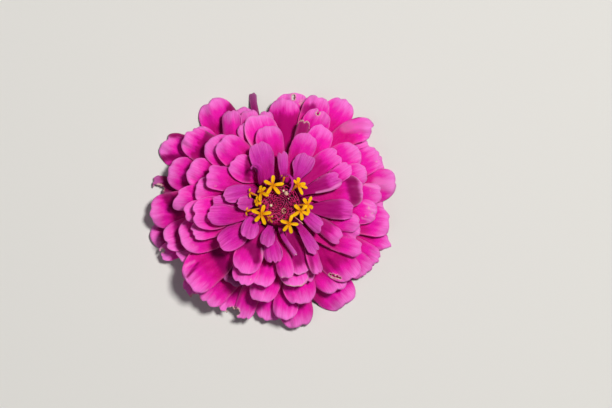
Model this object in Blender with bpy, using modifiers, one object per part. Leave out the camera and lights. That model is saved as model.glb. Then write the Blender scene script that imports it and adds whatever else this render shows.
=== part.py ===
"""Zinnia flower: one double flower head, picked with a short cut stem and resting face up.

The stem carries a solid receptacle, wrapped by three rows of green bracts (the involucre).
Seven whorls of ray florets stand on the receptacle's side, each a thin arched sheet. The
florets are in order from the lowest to the highest, and each rests a set clearance above
every one that comes before it. Disc florets ring the chaff at the top.
"""

import math

import bmesh
import bpy
import numpy as np

# ---------------------------------------------------------------- driving dimensions
MM = 0.001                      # everything below is in millimetres; meshes are in metres
HEAD_WIDTH = 65.5               # across the head, from floret tip to floret tip
UNIT = HEAD_WIDTH / 247.0       # one unit of x, y and width in the floret tables
LEAN = (0.122, 0.100)           # how far the axis leans for each mm of height, X and Y
LEAN_FROM = 6.5                 # height at which the axis crosses the origin's vertical

SHEET = 0.40                    # thickness of a ray floret
BRACT = 0.50                    # thickness of a bract row
CLEAR = 0.34                    # least gap between neighbouring pieces
LIFT = 1.8                      # how far a tip stands off the whorl below, over the gap
SLANT = 0.10                    # fall of the head's rim towards the side it leans to

STEM_R, STEM_H = 2.0, 3.25      # cut stem: radius and height above the surface
CUP_Z, CUP_A, CUP_B = 10.6, 8.2, 7.2    # receptacle's lower half: centre height, radii
TOP_Z, TOP_R = 20.4, 5.3        # receptacle's shoulder
FLAT_Z, FLAT_R = 21.5, 4.7      # receptacle's flat top, under the chaff
CHAFF_R, CHAFF_TOP = 3.75, 24.3
STAR_R, STAR_NOTCH, STAR_T = 2.5, 0.95, 0.45    # a disc floret's five-pointed limb
TUBE_R = 0.45
DOME_TOP, DOME_R, DOME_POWER = 25.0, 32.5, 2.5  # floret tips lie on a dome of this
                                # height, radius and fullness
COLLAR = 0.6                    # depth of the ring that joins one whorl's floret bases

# whorl: height of the bases, slope at the base, slope at the tip, width of the claw as a
# share of the floret's width, faces across and along one floret
WHORLS = {
    1: (12.2, 0.05, -0.50, 0.24, 4, 5),
    2: (13.4, 0.12, -0.42, 0.24, 4, 5),
    3: (14.6, 0.22, -0.38, 0.24, 4, 4),
    4: (15.8, 0.34, -0.34, 0.26, 4, 4),
    5: (17.0, 0.50, -0.30, 0.30, 4, 4),
    6: (18.2, 0.70, -0.25, 0.34, 2, 4),
    7: (19.4, 0.90, -0.20, 0.40, 2, 4),
}

# Ray florets, each whorl from the lowest: name, x and y of the tip, width, direction of the
# tip in degrees from +X.
FLORETS = {
    1: [
        ("a", -108, 12, 19, 178), ("c", -111.5, 68, 35, 152), ("e", -65, 110, 38, 120),
        ("g", -20.5, 118, 7, 93), ("i", 47.5, 108, 31, 73), ("k", 97.5, 66.5, 25, 20),
        ("n", 112, 4, 26, 0), ("o", 119.5, -37, 17, 335), ("p", 107, -51, 21, 331),
        ("r", 75, -96, 42, 313), ("t", -5, -111.5, 29, 262), ("v", -48, -103, 21, 246),
        ("x", -88, -66, 26, 216), ("z", -123, -29, 27, 196), ("b", -121, 29, 15, 166),
        ("d", -81, 79, 28, 138), ("f", -32, 103, 22, 102), ("h", 22, 118, 38, 84),
        ("j", 74.5, 110.5, 31, 57), ("l", 111, 50, 24, 26), ("m", 124.5, 27.5, 32, 11),
        ("q", 95, -64.5, 28, 320), ("s", 26, -118.5, 34, 280), ("u", -31, -109.5, 20, 254),
        ("w", -84, -87, 31, 231), ("y", -113, -45.5, 19, 203),
    ],
    2: [
        ("b", -105, 41, 34, 160), ("d", -24.5, 100.5, 19, 100), ("f", 12, 112, 32, 87),
        ("h", 100.5, 81, 24, -12), ("j", 118, -13, 31, 352), ("l", -66.5, -94.5, 27, 238),
        ("m", -87, -71, 25, 226), ("n", -95, -47, 27, 208), ("a", -123.5, -3, 36, 185),
        ("c", -89, 74.5, 31, 148), ("e", -7, 99, 14, 94), ("g", 48, 114.5, 27, 68),
        ("i", 107.5, 56, 27, 24), ("k", 12, -110, 26, 268), ("o", -108.5, -31, 31, 197),
    ],
    3: [
        ("b", -84, 42, 32, 158), ("d", -42, 100, 19, 97), ("e", -29.5, 86, 17, 108),
        ("f", -16, 95, 32, 98), ("h", 86, 61, 30, 36), ("j", 109.5, 18, 21, 8),
        ("m", 64.5, -82.5, 31, 300), ("n", 31, -94, 32, 285), ("p", -43, -74, 26, 240),
        ("q", -84.5, -73.5, 41, 227), ("r", -91, -32, 40, 208), ("a", -97, 14, 28, 180),
        ("c", -64, 69, 32, 138), ("g", 49, 100.5, 28, 68), ("i", 94, 39, 24, 20),
        ("k", 104.5, -1.5, 25, 357), ("o", -12, -92, 29, 254), ("l", 79, -70, 34, 310),
    ],
    4: [
        ("b", -51.5, 70, 30, 134), ("d", 32.5, 90, 12, 75), ("f", 90.5, 20, 33, 8),
        ("h", 86, -26, 24, 337), ("j", 35, -73, 21, 290), ("l", -12, -76, 25, 256),
        ("n", -80, -23, 21, 200), ("a", -77, 21, 28, 170), ("c", -5, 84, 27, 98),
        ("e", 53, 83, 26, 60), ("g", 87, -14, 19, 350), ("i", 89, -41, 17, 338),
        ("k", 25, -76, 29, 280), ("m", -31, -74, 25, 250), ("o", -88, -3, 22, 186),
    ],
    5: [
        ("d", 66, 57, 24, 38), ("f", 68.5, -29, 16, 330), ("h", 32, -63, 27, 286),
        ("j", -30, -62, 28, 246), ("a", -65, 34, 24, 170), ("b", -40, 49, 26, 140),
        ("c", 36, 76, 24, 70), ("e", 78, 43.5, 16, 30), ("g", 46.5, -63.5, 12, 298),
        ("i", 14.5, -68, 16.5, 277), ("k", -79, -5, 32, 186),
    ],
    6: [
        ("b", -59, 9, 12, 172), ("d", 80.5, 0.5, 20, 358), ("f", -52, -36, 23, 218),
        ("a", -64, -5, 20, 183), ("c", 68, 32, 17, 22), ("e", 2.5, -52.5, 18, 276),
    ],
    7: [
        ("b", -48, 14, 16, 186), ("d", -14, 67, 23, 106), ("f", 35, 55, 20, 62),
        ("g", 49, -18, 14, 326), ("h", 44, -43.5, 11, 303), ("j", -6, -36, 14, 258),
        ("a", -34.5, 6.5, 14, 182), ("e", 10, 58, 10, 92), ("i", 23.2, -44.8, 3.4, 300),
        ("k", -24.5, -28.5, 17, 255),
    ],
}
# How much further one corner of a tip reaches than its middle, and the other falls short.
SKEW = {"1r": -2, "1m": -4, "1q": -3, "2j": 3, "3m": -4, "3q": -5, "3a": -10, "3o": 2,
        "3l": -6, "5f": 1.5, "6d": 1.5, "7d": -1, "7f": 2, "7g": 2}

# Disc florets: x and y of the limb's centre, height, turn in degrees, size, tilt outwards.
DISC = [
    (0.5, 25, 24.6, 15, 1.00, 12), (-10.5, -3, 24.7, 40, 1.00, 10),
    (16.5, -14, 24.8, 5, 1.00, 12), (28.5, 1, 24.9, 30, 1.00, 10),
    (24.5, 24, 24.5, 60, 0.90, 30), (-11.0, 17.5, 24.2, 25, 0.80, 34),
    (36.0, 9, 23.7, 50, 0.75, 32), (-17.5, 8.5, 23.6, 0, 0.60, 30),
]

COLOURS = {
    "stem": (0.075, 0.145, 0.030, 0.62),
    "bract": (0.045, 0.110, 0.022, 0.60),
    "receptacle": (0.420, 0.500, 0.240, 0.70),
    "chaff": (0.330, 0.006, 0.070, 0.65),
    "disc": (0.880, 0.420, 0.010, 0.55),
    "ray": (0.800, 0.060, 0.440, 0.60),
    "inner": (0.640, 0.050, 0.370, 0.60),
}


# ---------------------------------------------------------------- helpers
def axis_at(z):
    """Where the leaning axis of the flower is at height z."""
    return np.array([LEAN[0] * (z - LEAN_FROM), LEAN[1] * (z - LEAN_FROM)])


def heading(angle):
    return np.array([math.cos(angle), math.sin(angle)])


def ease(x):
    x = np.clip(x, 0.0, 1.0)
    return x * x * (3 - 2 * x)


def receptacle_r(z):
    """Radius of the receptacle's tapering side."""
    return CUP_A + (TOP_R - CUP_A) * (z - CUP_Z) / (TOP_Z - CUP_Z)


def material(name, kind):
    r, g, b, rough = COLOURS[kind]
    m = bpy.data.materials.new(name)
    m.use_nodes = True
    shader = m.node_tree.nodes["Principled BSDF"]
    shader.inputs["Base Color"].default_value = (r, g, b, 1)
    shader.inputs["Roughness"].default_value = rough
    shader.inputs["Metallic"].default_value = 0
    m.diffuse_color = (r, g, b, 1)
    return m


def finish(bm, name, kind, group, thickness=0.0):
    """Makes the object from a mesh in millimetres, with an even wall if it is a sheet."""
    bmesh.ops.recalc_face_normals(bm, faces=bm.faces)
    bmesh.ops.scale(bm, vec=(MM, MM, MM), verts=bm.verts)
    mesh = bpy.data.meshes.new(name)
    bm.to_mesh(mesh)
    bm.free()
    mesh.shade_smooth()
    ob = bpy.data.objects.new(name, mesh)
    group.objects.link(ob)
    mesh.materials.append(material(name, kind))
    if thickness:
        wall = ob.modifiers.new("wall", "SOLIDIFY")
        wall.thickness = thickness * MM
        wall.offset = 0.0
    return ob


def grid(bm, across, along):
    """A new flat grid's vertices as [row along][column across]."""
    made = bmesh.ops.create_grid(bm, x_segments=across, y_segments=along, size=1.0)["verts"]
    rows = {}
    for v in made:
        rows.setdefault(round((v.co.y + 1) / 2 * along), []).append(v)
    return [sorted(rows[k], key=lambda v: v.co.x) for k in sorted(rows)]


def turned(name, kind, profile, group, steps=24):
    """A turned solid about the leaning axis, from (radius, height) down its outer side."""
    bm = bmesh.new()
    verts = [bm.verts.new((r, 0.0, z)) for r, z in profile]
    for a, b in zip(verts, verts[1:]):
        bm.edges.new((a, b))
    bmesh.ops.spin(bm, geom=bm.verts[:] + bm.edges[:], cent=(0, 0, 0), axis=(0, 0, 1),
                   angle=2 * math.pi, steps=steps, use_merge=True)
    bmesh.ops.remove_doubles(bm, verts=bm.verts, dist=0.0005)
    for v in bm.verts:
        c = axis_at(v.co.z)
        v.co.x += c[0]
        v.co.y += c[1]
    return finish(bm, name, kind, group)


# ---------------------------------------------------------------- laying sheets on sheets
class Sheet:
    """A thin sheet over the plan: a grid of points whose heights may move."""

    def __init__(self, name, whorl, angle, points, across, along, grip):
        self.name, self.whorl, self.angle = name, whorl, angle
        self.points, self.across, self.along = points, across, along
        self.wish = points[:, 2].copy()
        self.tris = []
        for r in range(along):
            for c in range(across):
                q = r * (across + 1) + c
                q = (q, q + 1, q + across + 2, q + across + 1)
                self.tris += [(q[0], q[1], q[2]), (q[0], q[2], q[3])]
        self.tris = np.array(self.tris)
        self.part_along = np.repeat((np.arange(along + 1) / along) ** 0.9, across + 1)
        self.soft = self.stiffness(grip)

    def stiffness(self, grip):
        """Inverse of how strongly the sheet resists leaving the heights it wishes for."""
        n, w = len(self.points), self.across + 1
        m = np.eye(n) * 0.10
        m[:w, :w] += np.eye(w) * grip
        for k in range(n):
            row, col = divmod(k, w)
            lines = []
            if 0 < col < w - 1:
                lines.append(((k - 1, 1), (k, -2), (k + 1, 1), 3.0))
            if 0 < row < self.along:
                lines.append(((k - w, 1), (k, -2), (k + w, 1), 1.5))
            if col < w - 1:
                lines.append(((k, -1), (k + 1, 1), 0.05))
            if row < self.along:
                lines.append(((k, -1), (k + w, 1), 0.05))
            for line in lines:
                d = np.zeros(n)
                for i, f in line[:-1]:
                    d[i] = f
                m += line[-1] * np.outer(d, d)
        return np.linalg.inv(m)

    def spots(self, fine):
        """Points spread over the sheet, as vertex indices and weights."""
        index, weight = [], []
        for r in range(self.along * fine + 1):
            for c in range(self.across * fine + 1):
                i, j = min(r // fine, self.along - 1), min(c // fine, self.across - 1)
                v, u = r / fine - i, c / fine - j
                q = i * (self.across + 1) + j
                q = (q, q + 1, q + self.across + 2, q + self.across + 1)
                if u >= v:
                    index.append((q[0], q[1], q[2]))
                    weight.append((1 - u, u - v, v))
                else:
                    index.append((q[0], q[2], q[3]))
                    weight.append((1 - v, u, v - u))
        return np.array(index), np.array(weight)

    def steepness(self, index):
        """1 / cos of the slope of the faces on these vertices, from the wished heights."""
        a, b, c = (self.points[index[:, k]] for k in range(3))
        n = np.cross(b - a, c - a)
        return np.linalg.norm(n, axis=1) / np.maximum(np.abs(n[:, 2]), 1e-9)

    def under(self, xy):
        """Which of these places lie over the sheet: place, vertex indices and weights."""
        a, b, c = (self.points[self.tris[:, k], :2] for k in range(3))
        e, f = b - a, c - a
        area = e[:, 0] * f[:, 1] - e[:, 1] * f[:, 0]
        p = xy[:, None, :] - a[None]
        u = (p[..., 0] * f[:, 1] - p[..., 1] * f[:, 0]) / area
        v = (e[:, 0] * p[..., 1] - e[:, 1] * p[..., 0]) / area
        edge = np.minimum(np.minimum(u, v), 1 - u - v)
        best = edge.argmax(1)
        at = np.nonzero(edge[np.arange(len(xy)), best] > -0.04)[0]
        best = best[at]
        return at, self.tris[best], np.stack([1 - u[at, best] - v[at, best], u[at, best],
                                              v[at, best]], 1)


def lay_down(sheets, floor, pitch, rounds=700):
    """Settles all sheets at once, lowest first in the list.

    Wherever one sheet is over another their middles keep `pitch` apart, measured square to
    them, and further towards the tip of the upper one. Every sheet stays above `floor`.
    Each sheet leaves its wished heights as little and as smoothly as these rules allow, so
    a pile spreads both up and down. The rules are linear in the heights, and their
    multipliers are found by ascent.
    """
    first = np.cumsum([0] + [len(s.points) for s in sheets])
    hi_i, hi_w, lo_i, lo_w, need = [], [], [], [], []
    boxes = [(s.points[:, :2].min(0), s.points[:, :2].max(0)) for s in sheets]
    spread = [s.spots(2) for s in sheets]
    for j, upper in enumerate(sheets):
        for i, lower in enumerate(sheets[:j]):
            if (boxes[i][0] > boxes[j][1]).any() or (boxes[j][0] > boxes[i][1]).any():
                continue
            for one, other, n, m in ((upper, lower, j, i), (lower, upper, i, j)):
                index, weight = spread[n]
                xy = (one.points[index][:, :, :2] * weight[:, :, None]).sum(1)
                at, tri, w = other.under(xy)
                if not len(at):
                    continue
                steep = np.maximum(one.steepness(index[at]), other.steepness(tri))
                here, there = (index[at] + first[n], weight[at]), (tri + first[m], w)
                up, down = (here, there) if one is upper else (there, here)
                hi_i.append(up[0]), hi_w.append(up[1])
                lo_i.append(down[0]), lo_w.append(down[1])
                far = (upper.part_along[up[0] - first[j]] * up[1]).sum(1)
                stand = 0.35 if lower.whorl == upper.whorl else LIFT
                need.append(pitch * np.minimum(steep, 1.8) + stand * ease((far - 0.35) / 0.55))
    for j, s in enumerate(sheets):
        n = len(s.points)
        hi_i.append(np.repeat(np.arange(n)[:, None] + first[j], 3, 1))
        hi_w.append(np.repeat([[1.0, 0.0, 0.0]], n, 0))
        lo_i.append(hi_i[-1]), lo_w.append(np.zeros((n, 3)))
        need.append(floor(s.points[:, :2]))
    hi_i, hi_w, lo_i, lo_w, need = (np.concatenate(x) for x in (hi_i, hi_w, lo_i, lo_w, need))
    wish = np.concatenate([s.wish for s in sheets])

    def gaps(z):
        return (z[hi_i] * hi_w).sum(1) - (z[lo_i] * lo_w).sum(1)

    def moved(push):
        load = (np.bincount(hi_i.ravel(), (push[:, None] * hi_w).ravel(), len(wish))
                - np.bincount(lo_i.ravel(), (push[:, None] * lo_w).ravel(), len(wish)))
        out = np.empty(len(wish))
        for k, s in enumerate(sheets):
            out[first[k]:first[k + 1]] = s.soft @ load[first[k]:first[k + 1]]
        return out

    probe = np.random.default_rng(1).random(len(need))
    for _ in range(30):
        probe = gaps(moved(probe))
        size = np.linalg.norm(probe)
        probe /= size
    push = ahead = np.zeros(len(need))
    t = 1.0
    for _ in range(rounds):
        z = wish + moved(ahead)
        new = np.maximum(0.0, ahead + (need - gaps(z)) / (1.05 * size))
        t_new = (1 + math.sqrt(1 + 4 * t * t)) / 2
        ahead = new + (t - 1) / t_new * (new - push)
        push, t = new, t_new
    z = wish + moved(push)
    for k, s in enumerate(sheets):
        s.points[:, 2] = z[first[k]:first[k + 1]]
    return float((need - gaps(z)).max())


# ---------------------------------------------------------------- ray florets
def bases_apart(angles, least):
    """Moves the base angles of one whorl apart until each keeps its own place."""
    order = np.argsort(angles)
    a = np.array(angles, float)[order]
    for _ in range(4000):
        short = least - np.diff(np.append(a, a[0] + 2 * math.pi))
        if short.max() < 1e-5:
            break
        push = np.clip(short, 0, None) * 0.5
        a = a - push + np.roll(push, 1)
    out = np.empty(len(a))
    out[order] = a
    return out


def floret_bases(whorl):
    """Base angle, radius and height of each floret in the whorl."""
    z = WHORLS[whorl][0]
    r = receptacle_r(z) + SHEET / 2 + CLEAR
    angles, claws = [], []
    for _, x, y, width, way in FLORETS[whorl]:
        tip = np.array([x, y]) * UNIT - axis_at(z)
        way = math.radians(way)
        back = tip - heading(way) * (np.linalg.norm(tip) - r)
        radial = math.atan2(tip[1], tip[0])
        turn = math.atan2(back[1], back[0]) - radial
        turn = (turn + math.pi) % (2 * math.pi) - math.pi
        angles.append(radial + max(-0.35, min(0.35, turn)))
        claws.append(max(1.1, WHORLS[whorl][3] * width * UNIT))
    angles = [a % (2 * math.pi) for a in angles]
    least = min((max(claws) + 0.75) / r, 6.1 / len(angles))
    return bases_apart(angles, least), r, z, [min(c, least * r - 0.75) for c in claws]


def floret_sheet(row, whorl, angle, base_r, base_z, claw, across, along):
    """The vertices of one floret's sheet before it is laid, rows from base to tip."""
    letter, x, y, width, way = row
    _, rise, fall, _, _, _ = WHORLS[whorl]
    width *= UNIT
    start = axis_at(base_z) + heading(angle) * base_r
    tip = np.array([x, y]) * UNIT
    run = np.linalg.norm(tip - start)
    b = start + heading(angle) * run * 0.35
    c = tip - heading(math.radians(way)) * run * 0.35
    lean = np.array(LEAN) / math.hypot(*LEAN)
    tip_z = 15.0
    for _ in range(8):
        reach = np.linalg.norm(tip - axis_at(tip_z))
        tip_z = DOME_TOP * (1 - min(1.2, reach / DOME_R) ** DOME_POWER) - SLANT * (tip @ lean)
        tip_z = max(0.32, tip_z - (1.2 if whorl == 1 else 0.0))
    off = -(heading(math.radians(way)) @ lean)      # on the raised side the tips lie flatter
    fall += 0.42 * max(0.0, off) - 0.05 * max(0.0, -off)
    curl = 0.06 - 0.12 * max(0.0, off)
    skew = SKEW.get("%d%s" % (whorl, letter), 0.0) * UNIT / run
    shoulder = max(0.42, 1 - 0.50 * width / run)
    points = []
    for j in range(along + 1):
        v = (j / along) ** 0.9
        for i in range(across + 1):
            u = 2 * i / across - 1
            end = shoulder + (1 - shoulder) * math.sqrt(max(0.0, 1 - abs(u) ** 2.4))
            end += skew * u * math.sqrt(abs(u) + 0.05)
            s = v * end
            centre = ((1 - s) ** 3 * start + 3 * (1 - s) ** 2 * s * b
                      + 3 * (1 - s) * s * s * c + s ** 3 * tip)
            slope = (3 * (1 - s) ** 2 * (b - start) + 6 * (1 - s) * s * (c - b)
                     + 3 * s * s * (tip - c))
            slope /= np.linalg.norm(slope)
            half = 0.5 * (claw + (width - claw) * ease(s / shoulder) ** 0.8)
            side = np.array([slope[1], -slope[0]])
            p = centre + side * half * u
            h = ((2 * s ** 3 - 3 * s * s + 1) * base_z + (s ** 3 - 2 * s * s + s) * run * rise
                 + (-2 * s ** 3 + 3 * s * s) * tip_z + (s ** 3 - s * s) * run * fall)
            bend = -0.25 + 0.50 * ease((s - 0.1) / 0.6)
            h -= bend * u * u * half + curl * width * ease((s - 0.72) / 0.28) ** 2
            points.append((p[0], p[1], h))
    return np.array(points)


def add_sheet(bm, points, across, along):
    rows = grid(bm, across, along)
    for j, row in enumerate(rows):
        for i, v in enumerate(row):
            v.co = points[j * (across + 1) + i]


def ray_florets(group):
    """Every whorl from the lowest: the outer two as single florets, the rest joined."""
    sheets = []
    for whorl, (_, _, _, _, across, along) in WHORLS.items():
        angles, r, z, claws = floret_bases(whorl)
        for row, angle, claw in zip(FLORETS[whorl], angles, claws):
            points = floret_sheet(row, whorl, angle, r, z, claw, across, along)
            sheets.append(Sheet(row[0], whorl, angle, points, across, along, 50.0))

    def floor(xy):
        """Florets stay above the surface and above the rim of the inner bracts."""
        rim_z = cup_point(0.62, math.radians(-6))[1]
        out = np.linalg.norm(xy - axis_at(rim_z), axis=1)
        return np.where(out < CUP_A + 2.0, rim_z + SHEET / 2 + BRACT / 2 + CLEAR, 0.30)

    lay_down(sheets, floor, SHEET + CLEAR)
    for whorl in WHORLS:
        mine = [s for s in sheets if s.whorl == whorl]
        if whorl > 2:
            ray_whorl(whorl, mine, group)
            continue
        for s in mine:
            bm = bmesh.new()
            add_sheet(bm, s.points, s.across, s.along)
            number = ord(s.name) - ord("a") + 1
            name = "%s_ray_floret_%02d" % (("outer", "second")[whorl - 1], number)
            finish(bm, name, "ray", group, SHEET)
    return sheets


def round_the_axis(rim, most):
    """Adds points so that no chord of the ring turns more than `most` about the axis."""
    out = []
    for p, q in zip(rim, rim[1:]):
        out.append(p)
        a, b = p[:2] - axis_at(p[2]), q[:2] - axis_at(q[2])
        turn = math.atan2(a[0] * b[1] - a[1] * b[0], a @ b)
        steps = int(abs(turn) / most) + 1
        for k in range(1, steps):
            t = k / steps
            z = p[2] + (q[2] - p[2]) * t
            r = np.linalg.norm(a) * (1 - t) + np.linalg.norm(b) * t
            at = axis_at(z) + r * heading(math.atan2(a[1], a[0]) + turn * t)
            out.append(np.array([at[0], at[1], z]))
    return out + [rim[-1]]


def ray_whorl(whorl, laid, group):
    """One whorl as a single sheet: its florets stand on a low collar at their bases."""
    bm = bmesh.new()
    rim = []
    for s in sorted(laid, key=lambda s: s.angle):
        add_sheet(bm, s.points, s.across, s.along)
        rim += [s.points[i] for i in range(s.across, -1, -1)]
    rim.append(rim[0])
    rim = round_the_axis(rim, math.radians(16))
    foot, top = grid(bm, len(rim) - 1, 1)
    for low, high, p in zip(foot, top, rim):
        high.co = p
        low.co = (p[0], p[1], p[2] - COLLAR)
        out = np.array(p[:2]) - axis_at(p[2])
        out = out / np.linalg.norm(out) * 0.06
        low.co.x += out[0]
        low.co.y += out[1]
    bmesh.ops.remove_doubles(bm, verts=bm.verts, dist=0.0005)
    finish(bm, "ray_whorl_%d" % whorl, "inner" if whorl > 5 else "ray", group, SHEET)


# ---------------------------------------------------------------- the other pieces
def cup_point(offset, theta):
    return ((CUP_A + offset) * math.cos(theta), CUP_Z - (CUP_B + offset) * math.sin(theta))


def bract_row(name, offset, theta_low, theta_high, bracts, depth, turn, group):
    """A cup of bracts, joined low down, with one rounded tip for each bract."""
    across, along = bracts * 4, 4
    bm = bmesh.new()
    for j, row in enumerate(grid(bm, across, along)):
        for i, v in enumerate(row):
            t = (i / 4.0) % 1.0
            lobe = math.sqrt(max(0.0, 1 - (2 * t - 1) ** 2))
            top = theta_high + math.radians(depth) * (1 - lobe)
            theta = theta_low + (top - theta_low) * j / along
            r, z = cup_point(offset, theta)
            a = 2 * math.pi * i / across + turn
            c = axis_at(z)
            v.co = (c[0] + r * math.cos(a), c[1] + r * math.sin(a), z)
    bmesh.ops.remove_doubles(bm, verts=bm.verts, dist=0.0005)
    return finish(bm, name, "bract", group, BRACT)


def disc_floret(number, row, group):
    """A five-pointed limb on a short tube that rises from the receptacle's rim."""
    x, y, z, turn, size, tilt = row
    centre = np.array([x, y]) * UNIT
    out = centre - axis_at(z)
    out /= np.linalg.norm(out)
    foot = axis_at(FLAT_Z) + out * (CHAFF_R + CLEAR + TUBE_R + 0.02)
    foot = np.array([foot[0], foot[1], FLAT_Z + CLEAR])
    bm = bmesh.new()
    bmesh.ops.create_cone(bm, cap_ends=True, segments=10, radius1=TUBE_R, radius2=TUBE_R,
                          depth=1.0)
    ring = sorted((v for v in bm.verts if v.co.z > 0), key=lambda v: math.atan2(v.co.y, v.co.x))
    low = [v for v in bm.verts if v.co.z < 0]
    for v in low:
        v.co = (foot[0] + v.co.x, foot[1] + v.co.y, foot[2])
    lift, way = math.radians(tilt), math.atan2(out[1], out[0])
    tangent = np.array([-out[1], out[0], 0.0])
    radial = np.array([out[0] * math.cos(lift), out[1] * math.cos(lift), -math.sin(lift)])
    normal = np.cross(radial, tangent)

    def place(r, k, up):
        a = 2 * math.pi * k / 10 + math.radians(turn)
        p = np.array([centre[0], centre[1], z]) + up * normal
        return p + r * (math.cos(a) * radial + math.sin(a) * tangent)

    # The limb's corners keep the tube's order round the ring.
    shift = round((math.radians(turn) + way) / (2 * math.pi / 10))
    for k, v in enumerate(ring):
        v.co = place(TUBE_R, (k - shift - 5) % 10, -STAR_T)
    cap = max(bm.faces, key=lambda f: f.calc_center_median().z)
    for radii, up in (((STAR_R * size, STAR_NOTCH * size), -STAR_T * 0.4),
                      ((STAR_R * size, STAR_NOTCH * size), STAR_T * 0.6)):
        made = bmesh.ops.extrude_face_region(bm, geom=[cap])["geom"]
        bmesh.ops.delete(bm, geom=[cap], context="FACES_ONLY") if cap.is_valid else None
        cap = next(g for g in made if isinstance(g, bmesh.types.BMFace))
        fresh = {v for v in made if isinstance(v, bmesh.types.BMVert)}
        for v in fresh:
            old = next(e.other_vert(v) for e in v.link_edges if e.other_vert(v) not in fresh)
            k = ring.index(old)
            v.co = place(radii[k % 2], (k - shift - 5) % 10, up)
            ring[k] = v
    return finish(bm, "disc_floret_%d" % number, "disc", group)


def stem(group):
    profile = [(0.0, STEM_H), (STEM_R + 0.25, STEM_H), (STEM_R + 0.05, STEM_H - 1.2),
               (STEM_R, 0.0), (0.0, 0.0)]
    return turned("stem", "stem", profile, group, 20)


def receptacle(group):
    profile = [(0.0, FLAT_Z), (FLAT_R, FLAT_Z), (5.15, 21.1), (TOP_R, TOP_Z)]
    profile += [cup_point(0.0, math.radians(t)) for t in (0, 18, 36, 54, 68, 76)]
    profile.append((0.0, profile[-1][1]))
    return turned("receptacle", "receptacle", profile, group, 24)


def chaff(group):
    foot = FLAT_Z + CLEAR
    profile = [(0.0, CHAFF_TOP)]
    for k in range(1, 5):
        a = math.radians(90 - 22.5 * k)
        profile.append((CHAFF_R * math.cos(a), foot + 0.6 + (CHAFF_TOP - foot - 0.6) * math.sin(a)))
    profile += [(CHAFF_R, foot), (0.0, foot)]
    return turned("disc_chaff", "chaff", profile, group, 20)


def main():
    for ob in list(bpy.data.objects):
        bpy.data.objects.remove(ob, do_unlink=True)
    group = bpy.data.collections.new("zinnia_flower")
    bpy.context.scene.collection.children.link(group)

    stem(group)
    bract_row("involucre_outer", 2.35, math.radians(69), math.radians(22), 9, 10, 0.0, group)
    bract_row("involucre_middle", 1.48, math.radians(70), math.radians(6), 10, 9, 0.3, group)
    bract_row("involucre_inner", 0.62, math.radians(69), math.radians(-6), 11, 8, 0.1, group)
    receptacle(group)
    ray_florets(group)
    chaff(group)
    for number, row in enumerate(DISC, 1):
        disc_floret(number, row, group)


main()
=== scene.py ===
"""Looks of the zinnia flower: every petal, star floret, scale and bract as its own fine mesh.

The petals are thin sheets over the plan. Their heights are settled all at once so that
each lies just over the ones below it. All lengths in this file are in millimetres until a
mesh is made.
"""
import math

import bmesh
import bpy
import numpy as np
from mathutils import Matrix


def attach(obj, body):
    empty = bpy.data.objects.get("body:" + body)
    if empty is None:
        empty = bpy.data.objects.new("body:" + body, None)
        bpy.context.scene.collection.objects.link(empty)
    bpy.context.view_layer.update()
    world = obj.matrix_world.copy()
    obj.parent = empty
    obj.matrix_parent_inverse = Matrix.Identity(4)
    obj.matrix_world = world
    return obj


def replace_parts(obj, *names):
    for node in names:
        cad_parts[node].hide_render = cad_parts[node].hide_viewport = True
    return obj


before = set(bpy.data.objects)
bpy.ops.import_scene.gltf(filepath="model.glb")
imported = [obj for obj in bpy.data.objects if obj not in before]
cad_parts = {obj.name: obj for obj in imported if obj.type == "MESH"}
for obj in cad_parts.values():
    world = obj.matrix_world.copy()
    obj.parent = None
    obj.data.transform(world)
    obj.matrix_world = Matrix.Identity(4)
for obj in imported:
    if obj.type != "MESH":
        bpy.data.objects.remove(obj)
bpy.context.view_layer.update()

MM = 0.001
HEAD_WIDTH = 65.5
UNIT = HEAD_WIDTH / 247.0       # one unit of the tables' x, y and width
LEAN = (0.122, 0.100)
LEAN_FROM = 6.5
SHEET = 0.26                    # thickness of a petal
CLEAR = 0.10
LIFT = 1.8                      # how far a tip stands off the petals of the whorl below
SLANT = 0.10                    # fall of the head's rim towards the side it leans to
CUP_Z, CUP_A, CUP_B = 10.6, 8.2, 7.2
TOP_Z, TOP_R = 20.4, 5.3
DOME_TOP, DOME_R, DOME_POWER = 25.0, 32.5, 2.5

# whorl: height of the bases, slope at the base, slope at the tip, claw's share of width
WHORLS = {
    1: (12.2, 0.05, -0.50, 0.24),
    2: (13.4, 0.12, -0.42, 0.24),
    3: (14.6, 0.22, -0.38, 0.24),
    4: (15.8, 0.34, -0.34, 0.26),
    5: (17.0, 0.50, -0.30, 0.30),
    6: (18.2, 0.70, -0.25, 0.34),
    7: (19.4, 0.90, -0.20, 0.40),
}
ACROSS, ALONG = 6, 9            # faces of the grid on which heights are settled
FINE_ACROSS, FINE_ALONG = 26, 34

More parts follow.
